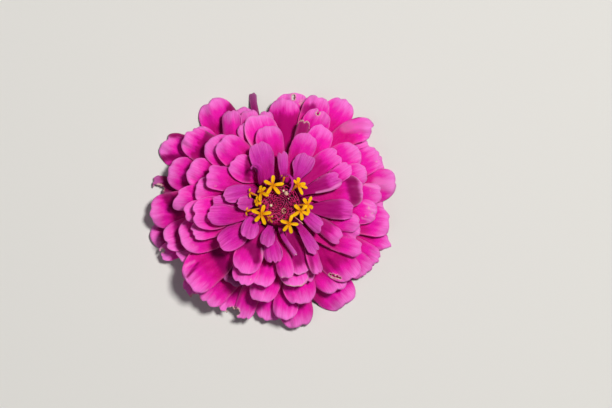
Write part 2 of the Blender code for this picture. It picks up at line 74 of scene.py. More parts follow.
# Petals, each whorl from the lowest to the highest: name, x and y of the tip, width,
# direction of the tip in degrees from +X, and what is special about it, painted shade and light included.
PETALS = {
    1: [
        ("a", -108, 12, 19, 178, {"tone": 0.6}),
        ("c", -111.5, 68, 35, 152, {"bend": 0.6, "dusk": [(-86, 77, -103, 77, 4.5), (-118, 52, -95, 53, 3.5)], "dark": 1.0}),
        ("e", -65, 110, 38, 120, {"folds": [(-62, 98, -65, 110, 3.2, 0.90)], "dusk": [(-41, 104, -51, 82, 5.0)], "dark": 1.0}),
        ("g", -20.5, 118, 7, 93, {"tone": 0.32}),
        ("i", 47.5, 108, 31, 73, {}),
        ("k", 97.5, 66.5, 25, 20, {}),
        ("n", 112, 4, 26, 0, {}),
        ("o", 119.5, -37, 17, 335, {"point": 1.0}),
        ("p", 107, -51, 21, 331, {}),
        ("r", 75, -96, 42, 313, {"folds": [(64, -88, 71, -100, 3.2, 0.85), (79, -85, 88, -93, 3.0, 0.70)], "skew": -2}),
        ("t", -5, -111.5, 29, 262, {}),
        ("v", -48, -103, 21, 246, {"bites": [(-41.5, -104, 6)]}),
        ("x", -88, -66, 26, 216, {}),
        ("z", -123, -29, 27, 196, {"dusk": [(-112, -18, -109, -36, 4.0)]}),
        ("b", -121, 29, 15, 166, {"tone": 0.5, "deep": (1.6, 0.9, 1.5), "bites": [(-115.5, 21, 5)]}),
        ("d", -81, 79, 28, 138, {}),
        ("f", -32, 103, 22, 102, {}),
        ("h", 22, 118, 38, 84, {"bites": [(20.8, 112.2, 1.5), (20.9, 115.2, 1.8)], "pale": [(29.5, 108, 6)]}),
        ("j", 74.5, 110.5, 31, 57, {}),
        ("l", 111, 50, 24, 26, {}),
        ("m", 124.5, 27.5, 32, 11, {"folds": [(108, 27, 120, 21, 4.0, 0.90)], "skew": -4, "edge_hurt": 0.3, "light": [(106, 27, 122, 24, 6)], "glow": 0.4}),
        ("q", 95, -64.5, 28, 320, {"skew": -3}),
        ("s", 26, -118.5, 34, 280, {"folds": [(21, -108, 23, -119, 3.0, 0.70)]}),
        ("u", -31, -109.5, 20, 254, {"bites": [(-37.5, -102.5, 4.2)]}),
        ("w", -84, -87, 31, 231, {"bites": [(-79, -91, 6)], "lift": 2.5, "tone": 1.1}),
        ("y", -113, -45.5, 19, 203, {"tone": 1.15, "lift": 1.8, "bites": [(-111.5, -41, 2.0)]}),
    ],
    2: [
        ("b", -105, 41, 34, 160, {"deep": (4.6, 0.85, 1.4)}),
        ("d", -24.5, 100.5, 19, 100, {}),
        ("f", 12, 112, 32, 87, {"deep": (3.2, 0.9)}),
        ("h", 100.5, 81, 24, -12, {"folds": [(76, 84, 97, 83, 4.0, 0.90)], "pale": [(87.5, 77, 1.8)], "light": [(74, 84, 93, 84, 6)], "glow": 0.30}),
        ("j", 118, -13, 31, 352, {"skew": 3}),
        ("l", -66.5, -94.5, 27, 238, {"folds": [(-62, -86, -67, -96, 3.0, 0.65)]}),
        ("m", -87, -71, 25, 226, {"lift": 1.0}),
        ("n", -95, -47, 27, 208, {}),
        ("a", -123.5, -3, 36, 185, {"folds": [(-105, -4, -121, -8, 4.0, 0.90)], "dusk": [(-108, 17, -95, 0, 5.5)], "dark": 1.0}),
        ("c", -89, 74.5, 31, 148, {"folds": [(-85, 68, -93, 74, 2.8, 0.70)], "notch": [(0.55, 0.8)], "deep": (4.4, 0.9, 1.3), "dusk": [(-64, 77, -68, 58, 4.5)], "dark": 0.95}),
        ("e", -7, 99, 14, 94, {}),
        ("g", 48, 114.5, 27, 68, {"dusk": [(31.5, 101, 40, 103, 4.5)]}),
        ("i", 107.5, 56, 27, 24, {"pale": [(104.5, 49, 2.0)]}),
        ("k", 12, -110, 26, 268, {}),
        ("o", -108.5, -31, 31, 197, {"dusk": [(-97, -16, -95.5, -30, 3.0), (-95.5, -30, -90.5, -40, 3.0)]}),
    ],
    3: [
        ("b", -84, 42, 32, 158, {"deep": (3.9, 0.85, 1.2)}),
        ("d", -42, 100, 19, 97, {}),
        ("e", -29.5, 86, 17, 108, {}),
        ("f", -16, 95, 32, 98, {"folds": [(-12, 88, -14, 97, 2.8, 0.60), (-21, 86, -25, 94, 2.4, 0.55)], "rim": 0.5}),
        ("h", 86, 61, 30, 36, {}),
        ("j", 109.5, 18, 21, 8, {"pale": [(97.5, 20, 1.6)], "light": [(91.5, 26, 107, 22, 1.6)], "glow": 0.45}),
        ("m", 64.5, -82.5, 31, 300, {"skew": -4}),
        ("n", 31, -94, 32, 285, {}),
        ("p", -43, -74, 26, 240, {"tone": 0.52, "deep": (0.3, 0.9)}),
        ("q", -84.5, -73.5, 41, 227, {"folds": [(-68, -54, -87, -70, 3.0, 1.00), (-62, -64, -73, -79, 3.4, 0.80)], "skew": -5, "square": 3.6, "lift": -1.5, "pale": [(-66, -80, 1.6)], "edge_hurt": 0.3, "dusk": [(-75, -54, -85, -68, 1.5), (-57, -42, -44, -62, 6.0)], "light": [(-87, -56, -79, -52, 1.6)], "dark": 0.95, "glow": 0.45}),
        ("r", -91, -32, 40, 208, {"folds": [(-76, -30, -90, -39, 3.4, 0.45)], "pale": [(-81.5, -27, 1.8), (-79.5, -35, 2.0)]}),
        ("a", -97, 14, 28, 180, {"skew": -10, "deep": (5.5, 0.8, 1.4)}),
        ("c", -64, 69, 32, 138, {"folds": [(-56, 63, -66, 73, 4.0, 0.40)]}),
        ("g", 49, 100.5, 28, 68, {"bites": [(45.5, 97, 1.7)], "pale": [(50, 102, 2.2), (54, 101, 2.0)]}),
        ("i", 94, 39, 24, 20, {}),
        ("k", 104.5, -1.5, 25, 357, {"folds": [(93, 5, 103, -1, 2.4, 0.60), (95, -6, 103, -8, 2.2, 0.50)], "light": [(91.5, 7, 99.5, 4, 1.1), (95.5, 2, 103.5, -2, 1.4), (97.5, -4, 103.5, -9, 1.2), (89.5, -8, 97.5, -10, 0.9)], "glow": 0.45, "pale": [(96.5, 2, 2.4), (100, -3, 2.2), (93, -6, 1.6)]}),
        ("o", -12, -92, 29, 254, {"skew": 2}),
        ("l", 79, -70, 34, 310, {"folds": [(60, -48, 74, -66, 4.5, 0.55)], "skew": -6, "bites": [(58, -65, 1.4), (61, -66.2, 1.8), (64.5, -67.2, 1.6), (67.5, -68.3, 1.2)], "deep": (4.0, 0.7)}),
    ],
    4: [
        ("b", -51.5, 70, 30, 134, {}),
        ("d", 32.5, 90, 12, 75, {"tone": 0.8, "edge_hurt": 1.0, "deep": (-1.5, 0.95, 1.0)}),
        ("f", 90.5, 20, 33, 8, {"bend": -0.35, "curl": -0.08, "rim": 0.45, "dusk": [(79, 30, 83.5, 9, 6.5)], "dark": 0.95}),
        ("h", 86, -26, 24, 337, {}),
        ("j", 35, -73, 21, 290, {}),
        ("l", -12, -76, 25, 256, {}),
        ("n", -80, -23, 21, 200, {}),
        ("a", -77, 21, 28, 170, {"deep": (4.5, 0.5)}),
        ("c", -5, 84, 27, 98, {"folds": [(-2, 74, -6, 85, 3.0, 0.35)]}),
        ("e", 53, 83, 26, 60, {}),
        ("g", 87, -14, 19, 350, {}),
        ("i", 89, -41, 17, 338, {}),
        ("k", 25, -76, 29, 280, {"edge_hurt": 0.85}),
        ("m", -31, -74, 25, 250, {"pale": [(-21.5, -69, 2.0)]}),
        ("o", -88, -3, 22, 186, {}),
    ],
    5: [
        ("d", 66, 57, 24, 38, {"deep": (4.0, 0.6)}),
        ("f", 68.5, -29, 16, 330, {"skew": 1.5, "deep": (2.8, 0.8)}),
        ("h", 32, -63, 27, 286, {"bend": -0.5, "curl": -0.08, "deep": (1.2, 0.5), "rim": 0.6, "dusk": [(19.5, -28, 26.5, -51, 5.0)]}),
        ("j", -30, -62, 28, 246, {"lip": (-1, 1.8), "deep": (6.0, 0.7), "dusk": [(-27, -33, -17, -40, 4.5), (-20, -38, -15.5, -50, 4.0)], "dark": 1.0, "light": [(-10.5, -38, -9.5, -52, 1.0)], "glow": 0.5}),
        ("a", -65, 34, 24, 170, {"square": 8.0, "round": 0.3, "pale": [(-56.5, 24, 1.8)]}),
        ("b", -40, 49, 26, 140, {"dusk": [(-24, 50, -25, 32, 3.5)], "dark": 1.0}),
        ("c", 36, 76, 24, 70, {}),
        ("e", 78, 43.5, 16, 30, {"deep": (3.5, 0.8)}),
        ("g", 46.5, -63.5, 12, 298, {"bend": 1.0, "dusk": [(37, -38, 40.5, -63, 2.1)]}),
        ("i", 14.5, -68, 16.5, 277, {"pale": [(10.5, -67, 1.8)], "edge_hurt": 0.5}),
        ("k", -79, -5, 32, 186, {"folds": [(-56, -6, -76, -12, 3.2, 0.45)]}),
    ],
    6: [
        ("b", -59, 9, 12, 172, {}),
        ("d", 80.5, 0.5, 20, 358, {"skew": 1.5, "deep": (2.2, 0.8)}),
        ("f", -52, -36, 23, 218, {}),
        ("a", -64, -5, 20, 183, {}),
        ("c", 68, 32, 17, 22, {"deep": (2.6, 0.85), "lip": (1, 0.5), "light": [(68, 27, 58, 20.5, 1.6), (58, 20.5, 44, 17, 1.3)], "glow": 0.5}),
        ("e", 2.5, -52.5, 18, 276, {"full": 1.0, "pale": [(-2.5, -48.5, 1.5)]}),
    ],
    7: [
        ("b", -48, 14, 16, 186, {}),
        ("d", -14, 67, 23, 106, {"skew": -1}),
        ("f", 35, 55, 20, 62, {"skew": 2, "neck": 0.30, "full": 0.95, "square": 5.0}),
        ("g", 49, -18, 14, 326, {"skew": 2, "square": 5.0}),
        ("h", 44, -43.5, 11, 303, {"point": 0.5}),
        ("j", -6, -36, 14, 258, {}),
        ("a", -34.5, 6.5, 14, 182, {}),
        ("e", 10, 58, 10, 92, {}),
        ("i", 23.2, -44.8, 3.4, 300, {"bend": 1.1, "lift": 0.6, "pale": [(23.5, -44.5, 1.8)]}),
        ("k", -24.5, -28.5, 17, 255, {}),
    ],
}
WHORL_NAMES = {1: "outer", 2: "second", 3: "third", 4: "fourth", 5: "fifth", 6: "sixth",
               7: "inner"}
# The CAD names count whorls 1 and 2 in this order.
CAD_ORDER = {1: "abcdefghijklmnopqrstuvwxyz", 2: "abcdefghijklmno"}


# ---------------------------------------------------------------- helpers
def axis_at(z):
    return np.array([LEAN[0] * (z - LEAN_FROM), LEAN[1] * (z - LEAN_FROM)])


def heading(angle):
    return np.array([math.cos(angle), math.sin(angle)])


def ease(x):
    x = np.clip(x, 0.0, 1.0)
    return x * x * (3 - 2 * x)


def receptacle_r(z):
    return CUP_A + (TOP_R - CUP_A) * (z - CUP_Z) / (TOP_Z - CUP_Z)


def link(ob, body="root"):
    bpy.context.scene.collection.objects.link(ob)
    if body:
        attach(ob, body)
    return ob


# ---------------------------------------------------------------- camera, floor and light
def camera_floor_light():
    cam = bpy.data.cameras.new("camera")
    away, level = 1.25, 0.015
    cam.sensor_width = 36.0
    cam.lens = 36.0 * (away - level) / (612 * UNIT * MM)
    cam.clip_start, cam.clip_end = 0.05, 10
    ob = bpy.data.objects.new("camera", cam)
    ob.location = (33.5 * UNIT * MM, 6.0 * UNIT * MM, away)
    bpy.context.scene.collection.objects.link(ob)
    bpy.context.scene.camera = ob

    mesh = bpy.data.meshes.new("floor")
    bm = bmesh.new()
    bmesh.ops.create_grid(bm, x_segments=1, y_segments=1, size=1.5)
    bm.to_mesh(mesh)
    bm.free()
    floor = bpy.data.objects.new("floor", mesh)
    bpy.context.scene.collection.objects.link(floor)
    m = bpy.data.materials.new("floor")
    m.use_nodes = True
    s = m.node_tree.nodes["Principled BSDF"]
    s.inputs["Base Color"].default_value = (0.74, 0.74, 0.72, 1)
    s.inputs["Roughness"].default_value = 0.9
    mesh.materials.append(m)

    def area(name, place, size, watts, colour):
        light = bpy.data.lights.new(name, "AREA")
        light.shape = "DISK"
        light.size, light.energy, light.color = size, watts, colour
        ob = bpy.data.objects.new(name, light)
        ob.location = place
        aim = -np.array(place) + np.array([0, 0, 0.015])
        from mathutils import Vector
        ob.rotation_euler = Vector(aim).to_track_quat("-Z", "Y").to_euler()
        bpy.context.scene.collection.objects.link(ob)

    area("key", (0.315, 0.26, 1.12), 0.20, 13.1, (1.0, 0.97, 0.93))
    area("fill", (-0.70, -0.35, 0.90), 0.9, 1.25, (0.96, 0.97, 1.0))
    world = bpy.data.worlds.new("world")
    world.use_nodes = True
    world.node_tree.nodes["Background"].inputs["Color"].default_value = (0.93, 0.95, 1.0, 1)
    world.node_tree.nodes["Background"].inputs["Strength"].default_value = 0.07
    bpy.context.scene.world = world
    bpy.context.scene.view_settings.view_transform = "Standard"
    bpy.context.scene.view_settings.look = "None"


# ---------------------------------------------------------------- petal geometry
def bases_apart(angles, least):
    order = np.argsort(angles)
    a = np.array(angles, float)[order]
    for _ in range(4000):
        short = least - np.diff(np.append(a, a[0] + 2 * math.pi))
        if short.max() < 1e-5:
            break
        push = np.clip(short, 0, None) * 0.5
        a = a - push + np.roll(push, 1)
    out = np.empty(len(a))
    out[order] = a
    return out


def petal_bases(whorl):
    z = WHORLS[whorl][0]
    r = receptacle_r(z) + SHEET / 2 + 0.1
    angles, claws = [], []
    for _, x, y, width, way, _ in PETALS[whorl]:
        tip = np.array([x, y]) * UNIT - axis_at(z)
        back = tip - heading(math.radians(way)) * (np.linalg.norm(tip) - r)
        radial = math.atan2(tip[1], tip[0])
        turn = math.atan2(back[1], back[0]) - radial
        turn = (turn + math.pi) % (2 * math.pi) - math.pi
        angles.append((radial + max(-0.35, min(0.35, turn))) % (2 * math.pi))
        claws.append(max(1.2, WHORLS[whorl][3] * width * UNIT))
    least = min((max(claws) + 0.2) / r, 6.1 / len(angles))
    return bases_apart(angles, least), r, z, [min(c, least * r - 0.2) for c in claws]


class Petal:
    def __init__(self, whorl, row, angle, r, z, claw):
        self.whorl, self.angle = whorl, angle
        self.letter, x, y, self.width, self.way, self.opt = row
        self.name = "petal_%s_%s" % (WHORL_NAMES[whorl], self.letter)
        self.seed = whorl * 40 + ord(self.letter)
        self.dice = np.random.default_rng(self.seed)
        self.width = self.width * UNIT
        self.claw, self.base_z = claw, z
        self.rise, self.fall = WHORLS[whorl][1:3]
        self.rise = self.opt.get("rise", self.rise)
        self.fall = self.opt.get("fall", self.fall)
        self.start = axis_at(z) + heading(angle) * r
        self.tip = np.array([x, y]) * UNIT
        self.run = np.linalg.norm(self.tip - self.start)
        self.b = self.start + heading(angle) * self.run * 0.35
        self.c = self.tip - heading(math.radians(self.way)) * self.run * 0.35
        lean = np.array(LEAN) / np.hypot(*LEAN)
        tip_z = 15.0
        for _ in range(8):
            reach = np.linalg.norm(self.tip - axis_at(tip_z))
            tip_z = DOME_TOP * (1 - min(1.2, reach / DOME_R) ** DOME_POWER)
            tip_z -= SLANT * (self.tip @ lean)
            tip_z = max(0.32, tip_z - (1.2 if whorl == 1 else 0.0))
        # On the raised side the tips lie flatter.
        off = -(heading(math.radians(self.way)) @ lean)
        self.fall += 0.42 * max(0.0, off) - 0.05 * max(0.0, -off)
        self.curl = self.opt.get("curl", 0.06 - 0.12 * max(0.0, off))
        self.tip_z = tip_z + self.opt.get("lift", 0.0)
        self.shoulder = max(0.40, 1 - self.opt.get("round", 0.50) * self.width / self.run)
        self.bend = self.opt.get("bend", 0.46)
        self.roll = self.opt.get("roll", self.dice.uniform(-0.08, 0.08))
        k = self.dice.uniform(0, 2 * math.pi, 4)
        self.phase = k
        more = np.random.default_rng(self.seed + 900)
        self.ripples = [(more.uniform(-0.9, 0.9), more.uniform(1.7, 4.4),
                         more.uniform(0, 2 * math.pi)) for _ in range(5)]
        notches = self.opt.get("notch")
        if notches is None:
            n = self.dice.choice([0, 1, 1, 2])
            notches = [(self.dice.uniform(-0.45, 0.45), self.dice.uniform(0.15, 0.5))
                       for _ in range(n)]
        self.notches = notches
        u, v = self.nodes(ACROSS, ALONG)
        self.points = self.surface(u, v)
        self.wish = self.points[:, 2].copy()
        self.across, self.along = ACROSS, ALONG

    @staticmethod
    def nodes(across, along):
        t = np.linspace(-1, 1, across + 1)
        v = np.linspace(0, 1, along + 1) ** 0.9
        u, v = np.meshgrid(np.sin(t * math.pi / 2), v)
        return u.ravel(), v.ravel()

    def end(self, u):
        """How far along the petal its outline runs, by place across it."""
        power = self.opt.get("square", 2.9)
        e = self.shoulder + (1 - self.shoulder) * np.maximum(0, 1 - np.abs(u) ** power) ** 0.5
        if "point" in self.opt:
            p = self.opt["point"]
            e = (1 - p) * e + p * (self.shoulder + (1 - self.shoulder) * (1 - np.abs(u)) ** 0.9)
        e = e + self.opt.get("skew", 0.0) * UNIT / self.run * u * np.sqrt(np.abs(u) + 0.05)
        for at, deep in self.notches:
            e = e - deep / self.run * np.exp(-((u - at) / 0.13) ** 2)
        wobble = 0.17 * np.sin(5 * u + self.phase[0]) + 0.09 * np.sin(11 * u + self.phase[1])
        return e + wobble / self.run * (1 - u * u)

    def surface(self, u, v, detail=False):
        s = v * self.end(u)
        q = s[:, None]
        centre = ((1 - q) ** 3 * self.start + 3 * (1 - q) ** 2 * q * self.b
                  + 3 * (1 - q) * q * q * self.c + q ** 3 * self.tip)
        slope = (3 * (1 - q) ** 2 * (self.b - self.start) + 6 * (1 - q) * q * (self.c - self.b)
                 + 3 * q * q * (self.tip - self.c))
        slope /= np.linalg.norm(slope, axis=1)[:, None]
        neck = self.opt.get("neck", 0.0)
        grow = ease((s - neck) / (self.shoulder * self.opt.get("full", 0.86) - neck))
        half = 0.5 * (self.claw + (self.width - self.claw) * grow)
        half = half * (1 + 0.02 * np.sin(9 * v + self.phase[2]) * grow)
        side = np.stack([slope[:, 1], -slope[:, 0]], 1)
        p = centre + side * (half * u)[:, None]
        h = ((2 * s ** 3 - 3 * s * s + 1) * self.base_z
             + (s ** 3 - 2 * s * s + s) * self.run * self.rise
             + (-2 * s ** 3 + 3 * s * s) * self.tip_z + (s ** 3 - s * s) * self.run * self.fall)
        across = -0.30 + (0.30 + self.bend) * ease((s - 0.1) / 0.6)
        h = h - across * u * u * half + self.roll * u * half * grow
        far = ease((s - 0.72) / 0.28)
        h = h - self.curl * far * far * self.width
        if "lip" in self.opt:           # one long edge turned up (+) or down (-)
            where, amount = self.opt["lip"]
            h = h + amount * ease((np.sign(where) * u - 0.35) / 0.65) ** 1.5 * grow
        if detail:
            h = h + self.relief(u, s, half, grow)
        return np.stack([p[:, 0], p[:, 1], h], 1)

    def relief(self, u, s, half, grow):
        """Folds along the petal, a faint crease down the middle and a slightly wavy rim."""
        k = self.phase
        pleat = 0.13 * np.cos(u * math.pi * 2.6 + k[0] * 0.15) + 0.05 * np.cos(u * 15 + k[1])
        if self.whorl > 6:
            pleat = pleat + 0.12 * np.cos(u * 12 + k[3])
        crease = -0.16 * np.exp(-(u / 0.10) ** 2) * (0.4 + 0.6 * np.sin(k[2]) ** 2)
        wave = (0.10 * np.sin(5 * s * 3 + k[3] + 2.5 * u) + 0.07 * np.sin(23 * s + k[2] - 4 * u)
                * np.abs(u))
        rim = 0.10 * np.sin(7 * u + k[1]) * ease((s - 0.85) / 0.15)
        for turn, length, shift in self.ripples:
            way = u * half * math.cos(turn) + s * self.run * math.sin(turn)
            wave = wave + 0.055 * np.sin(2 * math.pi * way / length + shift)
        return ((pleat + crease) * ease(s / 0.5) * (1 - 0.5 * ease((s - 0.8) / 0.2))
                + wave * grow + rim) * np.clip(half / 3.5, 0.25, 1.2)


# ---------------------------------------------------------------- settling the heights
def grid_triangles(across, along):
    q = (np.arange(along)[:, None] * (across + 1) + np.arange(across)[None]).ravel()
    return np.concatenate([np.stack([q, q + 1, q + across + 2], 1),
                           np.stack([q, q + across + 2, q + across + 1], 1)])


def grid_spots(across, along, fine):
    r, c = np.meshgrid(np.arange(along * fine + 1), np.arange(across * fine + 1), indexing="ij")
    r, c = r.ravel(), c.ravel()
    i, j = np.minimum(r // fine, along - 1), np.minimum(c // fine, across - 1)
    v, u = r / fine - i, c / fine - j
    q = i * (across + 1) + j
    low = (u >= v)[:, None]
    index = np.where(low, np.stack([q, q + 1, q + across + 2], 1),
                     np.stack([q, q + across + 2, q + across + 1], 1))
    weight = np.where(low, np.stack([1 - u, u - v, v], 1), np.stack([1 - v, u, v - u], 1))
    return index, weight


def grid_softness(across, along, grip):
    n, w = (across + 1) * (along + 1), across + 1
    m = np.eye(n) * 0.06
    m[:w, :w] += np.eye(w) * grip
    for k in range(n):
        row, col = divmod(k, w)
        lines = []
        if 0 < col < w - 1:
            lines.append(((k - 1, 1), (k, -2), (k + 1, 1), 6.0))
        if 0 < row < along:
            lines.append(((k - w, 1), (k, -2), (k + w, 1), 6.0))
        if col < w - 1:
            lines.append(((k, -1), (k + 1, 1), 0.05))
        if row < along:
            lines.append(((k, -1), (k + w, 1), 0.05))
        for line in lines:
            d = np.zeros(n)
            for i, f in line[:-1]:
                d[i] = f
            m += line[-1] * np.outer(d, d)
    return np.linalg.inv(m)


def steepness(points, index):
    a, b, c = (points[index[:, k]] for k in range(3))
    n = np.cross(b - a, c - a)
    return np.linalg.norm(n, axis=1) / np.maximum(np.abs(n[:, 2]), 1e-9)


def places_over(points, tris, xy):
    a, b, c = (points[tris[:, k], :2] for k in range(3))
    e, f = b - a, c - a
    area = e[:, 0] * f[:, 1] - e[:, 1] * f[:, 0]
    p = xy[:, None, :] - a[None]
    u = (p[..., 0] * f[:, 1] - p[..., 1] * f[:, 0]) / area
    v = (e[:, 0] * p[..., 1] - e[:, 1] * p[..., 0]) / area
    edge = np.minimum(np.minimum(u, v), 1 - u - v)
    best = edge.argmax(1)
    at = np.nonzero(edge[np.arange(len(xy)), best] > -0.03)[0]
    best = best[at]
    return at, tris[best], np.stack([1 - u[at, best] - v[at, best], u[at, best], v[at, best]], 1)


def lay_down(sheets, floor, pitch, rounds=500):
    """Settles the heights of all sheets together, lowest first in the list."""
    n = len(sheets[0].points)
    first = np.arange(len(sheets) + 1) * n
    tris = grid_triangles(ACROSS, ALONG)
    index, weight = grid_spots(ACROSS, ALONG, 2)
    soft = grid_softness(ACROSS, ALONG, 50.0)
    spots = [(s.points[index][:, :, :2] * weight[:, :, None]).sum(1) for s in sheets]
    along_at = Petal.nodes(ACROSS, ALONG)[1]
    low = [s.points[:, :2].min(0) for s in sheets]
    high = [s.points[:, :2].max(0) for s in sheets]
    steep = [steepness(s.points, index) for s in sheets]
    hi_i, hi_w, lo_i, lo_w, need = [], [], [], [], []
    for j in range(len(sheets)):
        for i in range(j):
            if (low[i] > high[j]).any() or (low[j] > high[i]).any():
                continue
            for a, b in ((j, i), (i, j)):
                near = np.nonzero(((spots[a] > low[b] - 0.3) & (spots[a] < high[b] + 0.3))
                                  .all(1))[0]
                if not len(near):
                    continue
                at, tri, w = places_over(sheets[b].points, tris, spots[a][near])
                if not len(at):
                    continue
                at = near[at]
                s = np.maximum(steep[a][at], steepness(sheets[b].points, tri))
                here, there = (index[at] + first[a], weight[at]), (tri + first[b], w)
                up, down = (here, there) if a == j else (there, here)
                hi_i.append(up[0]), hi_w.append(up[1])
                lo_i.append(down[0]), lo_w.append(down[1])
                # A tip stands further off what is under it than the rest of its petal.
                far = (along_at[up[0] % n] * up[1]).sum(1)
                stand = 0.35 if sheets[i].whorl == sheets[j].whorl else LIFT
                need.append(pitch * np.minimum(s, 2.2) + stand * ease((far - 0.35) / 0.55))
    for j, s in enumerate(sheets):
        hi_i.append(np.repeat(np.arange(n)[:, None] + first[j], 3, 1))
        hi_w.append(np.repeat([[1.0, 0.0, 0.0]], n, 0))
        lo_i.append(hi_i[-1]), lo_w.append(np.zeros((n, 3)))
        need.append(floor(s.points[:, :2]))
    hi_i, hi_w, lo_i, lo_w, need = (np.concatenate(x) for x in (hi_i, hi_w, lo_i, lo_w, need))
    wish = np.concatenate([s.wish for s in sheets])
    both_i = np.concatenate([hi_i.ravel(), lo_i.ravel()])
    both_w = np.concatenate([hi_w, -lo_w])

    def gaps(z):
        return (z[hi_i] * hi_w).sum(1) - (z[lo_i] * lo_w).sum(1)

    def moved(push):
        load = np.bincount(both_i, (np.tile(push, 2)[:, None] * both_w).ravel(), len(wish))
        return (load.reshape(-1, n) @ soft).ravel()

    probe = np.random.default_rng(1).random(len(need))
    for _ in range(20):
        probe = gaps(moved(probe))
        size = np.linalg.norm(probe)
        probe /= size
    push = ahead = np.zeros(len(need))
    t = 1.0
    for _ in range(rounds):
        z = wish + moved(ahead)
        new = np.maximum(0.0, ahead + (need - gaps(z)) / (1.05 * size))
        t_new = (1 + math.sqrt(1 + 4 * t * t)) / 2
        ahead = new + (t - 1) / t_new * (new - push)
        push, t = new, t_new
    z = wish + moved(push)
    for k, s in enumerate(sheets):
        s.points[:, 2] = z[first[k]:first[k + 1]]
    print("settled", len(need), "rules, worst", round(float((need - gaps(z)).max()), 3))


def spline_matrix(coarse, fine):
    """Cubic interpolation from coarse + 1 even nodes to fine + 1 even places."""
    m = np.zeros((fine + 1, coarse + 1))
    for k in range(fine + 1):
        x = k / fine * coarse
        i = min(int(x), coarse - 1)
        t = x - i
        w = (-0.5 * t + t * t - 0.5 * t ** 3, 1 - 2.5 * t * t + 1.5 * t ** 3,
             0.5 * t + 2 * t * t - 1.5 * t ** 3, -0.5 * t * t + 0.5 * t ** 3)
        for d, f in zip((-1, 0, 1, 2), w):
            j = i + d
            if j < 0:
                m[k, 0] += 2 * f
                m[k, 1] -= f
            elif j > coarse:
                m[k, coarse] += 2 * f
                m[k, coarse - 1] -= f
            else:
                m[k, j] += f
    return m


# ---------------------------------------------------------------- petal meshes
def strokes(pts, rows):
    """How far inside the nearest of some soft strokes (x, y, x, y, radius) each point is."""
    best = np.zeros(len(pts))
    q = pts[:, :2] / UNIT
    for ax, ay, bx, by, r in rows:
        a, b = np.array([ax, ay]), np.array([bx, by])
        t = np.clip((q - a) @ (b - a) / max((b - a) @ (b - a), 1e-9), 0, 1)
        d = np.linalg.norm(q - a - t[:, None] * (b - a), axis=1)
        soft = max(2.6, 0.65 * r) if r > 2 else 0.9 * r
        best = np.maximum(best, ease((r + soft - d) / (2 * soft)))
    return best


def ridges(pts, rows):
    """Height in millimetres of soft folds, each given as (x, y, x, y, radius, height)."""
    rise = np.zeros(len(pts))
    q = pts[:, :2] / UNIT
    for ax, ay, bx, by, r, high in rows:
        a, b = np.array([ax, ay]), np.array([bx, by])
        t = np.clip((q - a) @ (b - a) / max((b - a) @ (b - a), 1e-9), 0, 1)
        d = np.linalg.norm(q - a - t[:, None] * (b - a), axis=1)
        rise += high * np.exp(-(d / r) ** 2)
    return rise


def petal_object(p):
    finer = 2 if "bites" in p.opt else 1
    across, along = FINE_ACROSS * finer, FINE_ALONG * finer
    u, v = Petal.nodes(across, along)
    pts = p.surface(u, v, True)
    shift = (p.points[:, 2] - p.wish).reshape(ALONG + 1, ACROSS + 1)
    up_u, up_v = spline_matrix(ACROSS, across), spline_matrix(ALONG, along)
    pts[:, 2] += (up_v @ shift @ up_u.T).ravel()
    pts[:, 2] = np.maximum(pts[:, 2], 0.2) + ridges(pts, p.opt.get("folds", []))
    bm = bmesh.new()
    uv_layer = bm.loops.layers.uv.new("petal")
    hurt_layer = bm.verts.layers.float.new("hurt")
    rim_layer = bm.verts.layers.float.new("rim")
    shade_layer = bm.verts.layers.float.new("shade")
    painted_shadow_layer = bm.verts.layers.float.new("dusk")
    made = bmesh.ops.create_grid(bm, x_segments=across, y_segments=along, size=1.0)["verts"]
    place = {}
    length = p.run * 1.15
    end = p.end(u)
    for vert in made:
        i = round((vert.co.x + 1) / 2 * across)
        j = round((vert.co.y + 1) / 2 * along)
        k = j * (across + 1) + i
        place[vert] = k
    inside = (1 - np.abs(u)) * p.width * 0.5
    ahead = (1 - v) * length
    # A paler band along the petal's edges: a painted highlight where the edges catch the light.
    rim = np.exp(-np.minimum(inside + 0.6 * (v < 0.5), ahead) / 0.35)
    hurt = np.zeros(len(u))
    for spot in p.opt.get("bites", []):
        x, y, r = spot[:3]
        d = np.hypot(pts[:, 0] / UNIT - x, pts[:, 1] / UNIT - y)
        hurt = np.maximum(hurt, np.exp(-np.maximum(0, d - r) / 1.2))
    for spot in p.opt.get("pale", []):
        x, y, r = spot[:3]
        d = np.hypot(pts[:, 0] / UNIT - x, pts[:, 1] / UNIT - y)
        hurt = np.maximum(hurt, 0.70 * np.exp(-(d / (0.8 * r)) ** 2))
    # Soft strokes that paint light and shade into the colour: painted highlights along lit edges and folds, painted
    # shadow where folds and the petals above throw shade.
    shade, dusk = strokes(pts, p.opt.get("light", [])), strokes(pts, p.opt.get("dusk", []))
    if p.opt.get("edge_hurt"):
        hurt = np.maximum(hurt, p.opt["edge_hurt"] * np.exp(-ahead / 0.45))
    for vert, k in place.items():
        vert.co = pts[k]
        vert[hurt_layer] = hurt[k]
        vert[rim_layer] = rim[k]
        vert[shade_layer] = shade[k]
        vert[painted_shadow_layer] = dusk[k]
    for face in bm.faces:
        face.smooth = True
        for loop in face.loops:
            k = place[loop.vert]
            loop[uv_layer].uv = (0.5 + u[k] * p.width / 24.0, v[k] * end[k] * length / 24.0)
    for x, y, r in p.opt.get("bites", []):
        bite(bm, x * UNIT, y * UNIT, r * UNIT)
    bmesh.ops.scale(bm, vec=(MM, MM, MM), verts=bm.verts)
    mesh = bpy.data.meshes.new(p.name)
    bm.to_mesh(mesh)
    bm.free()
    if mesh.polygons and mesh.polygons[0].normal.z < 0:
        mesh.flip_normals()
    ob = bpy.data.objects.new(p.name, mesh)
    wall = ob.modifiers.new("wall", "SOLIDIFY")
    wall.thickness = SHEET * MM
    wall.offset = 0.0
    wall.material_offset = 1
    mesh.materials.append(petal_material(p))
    mesh.materials.append(petal_material(p, True))
    link(ob)
    return ob


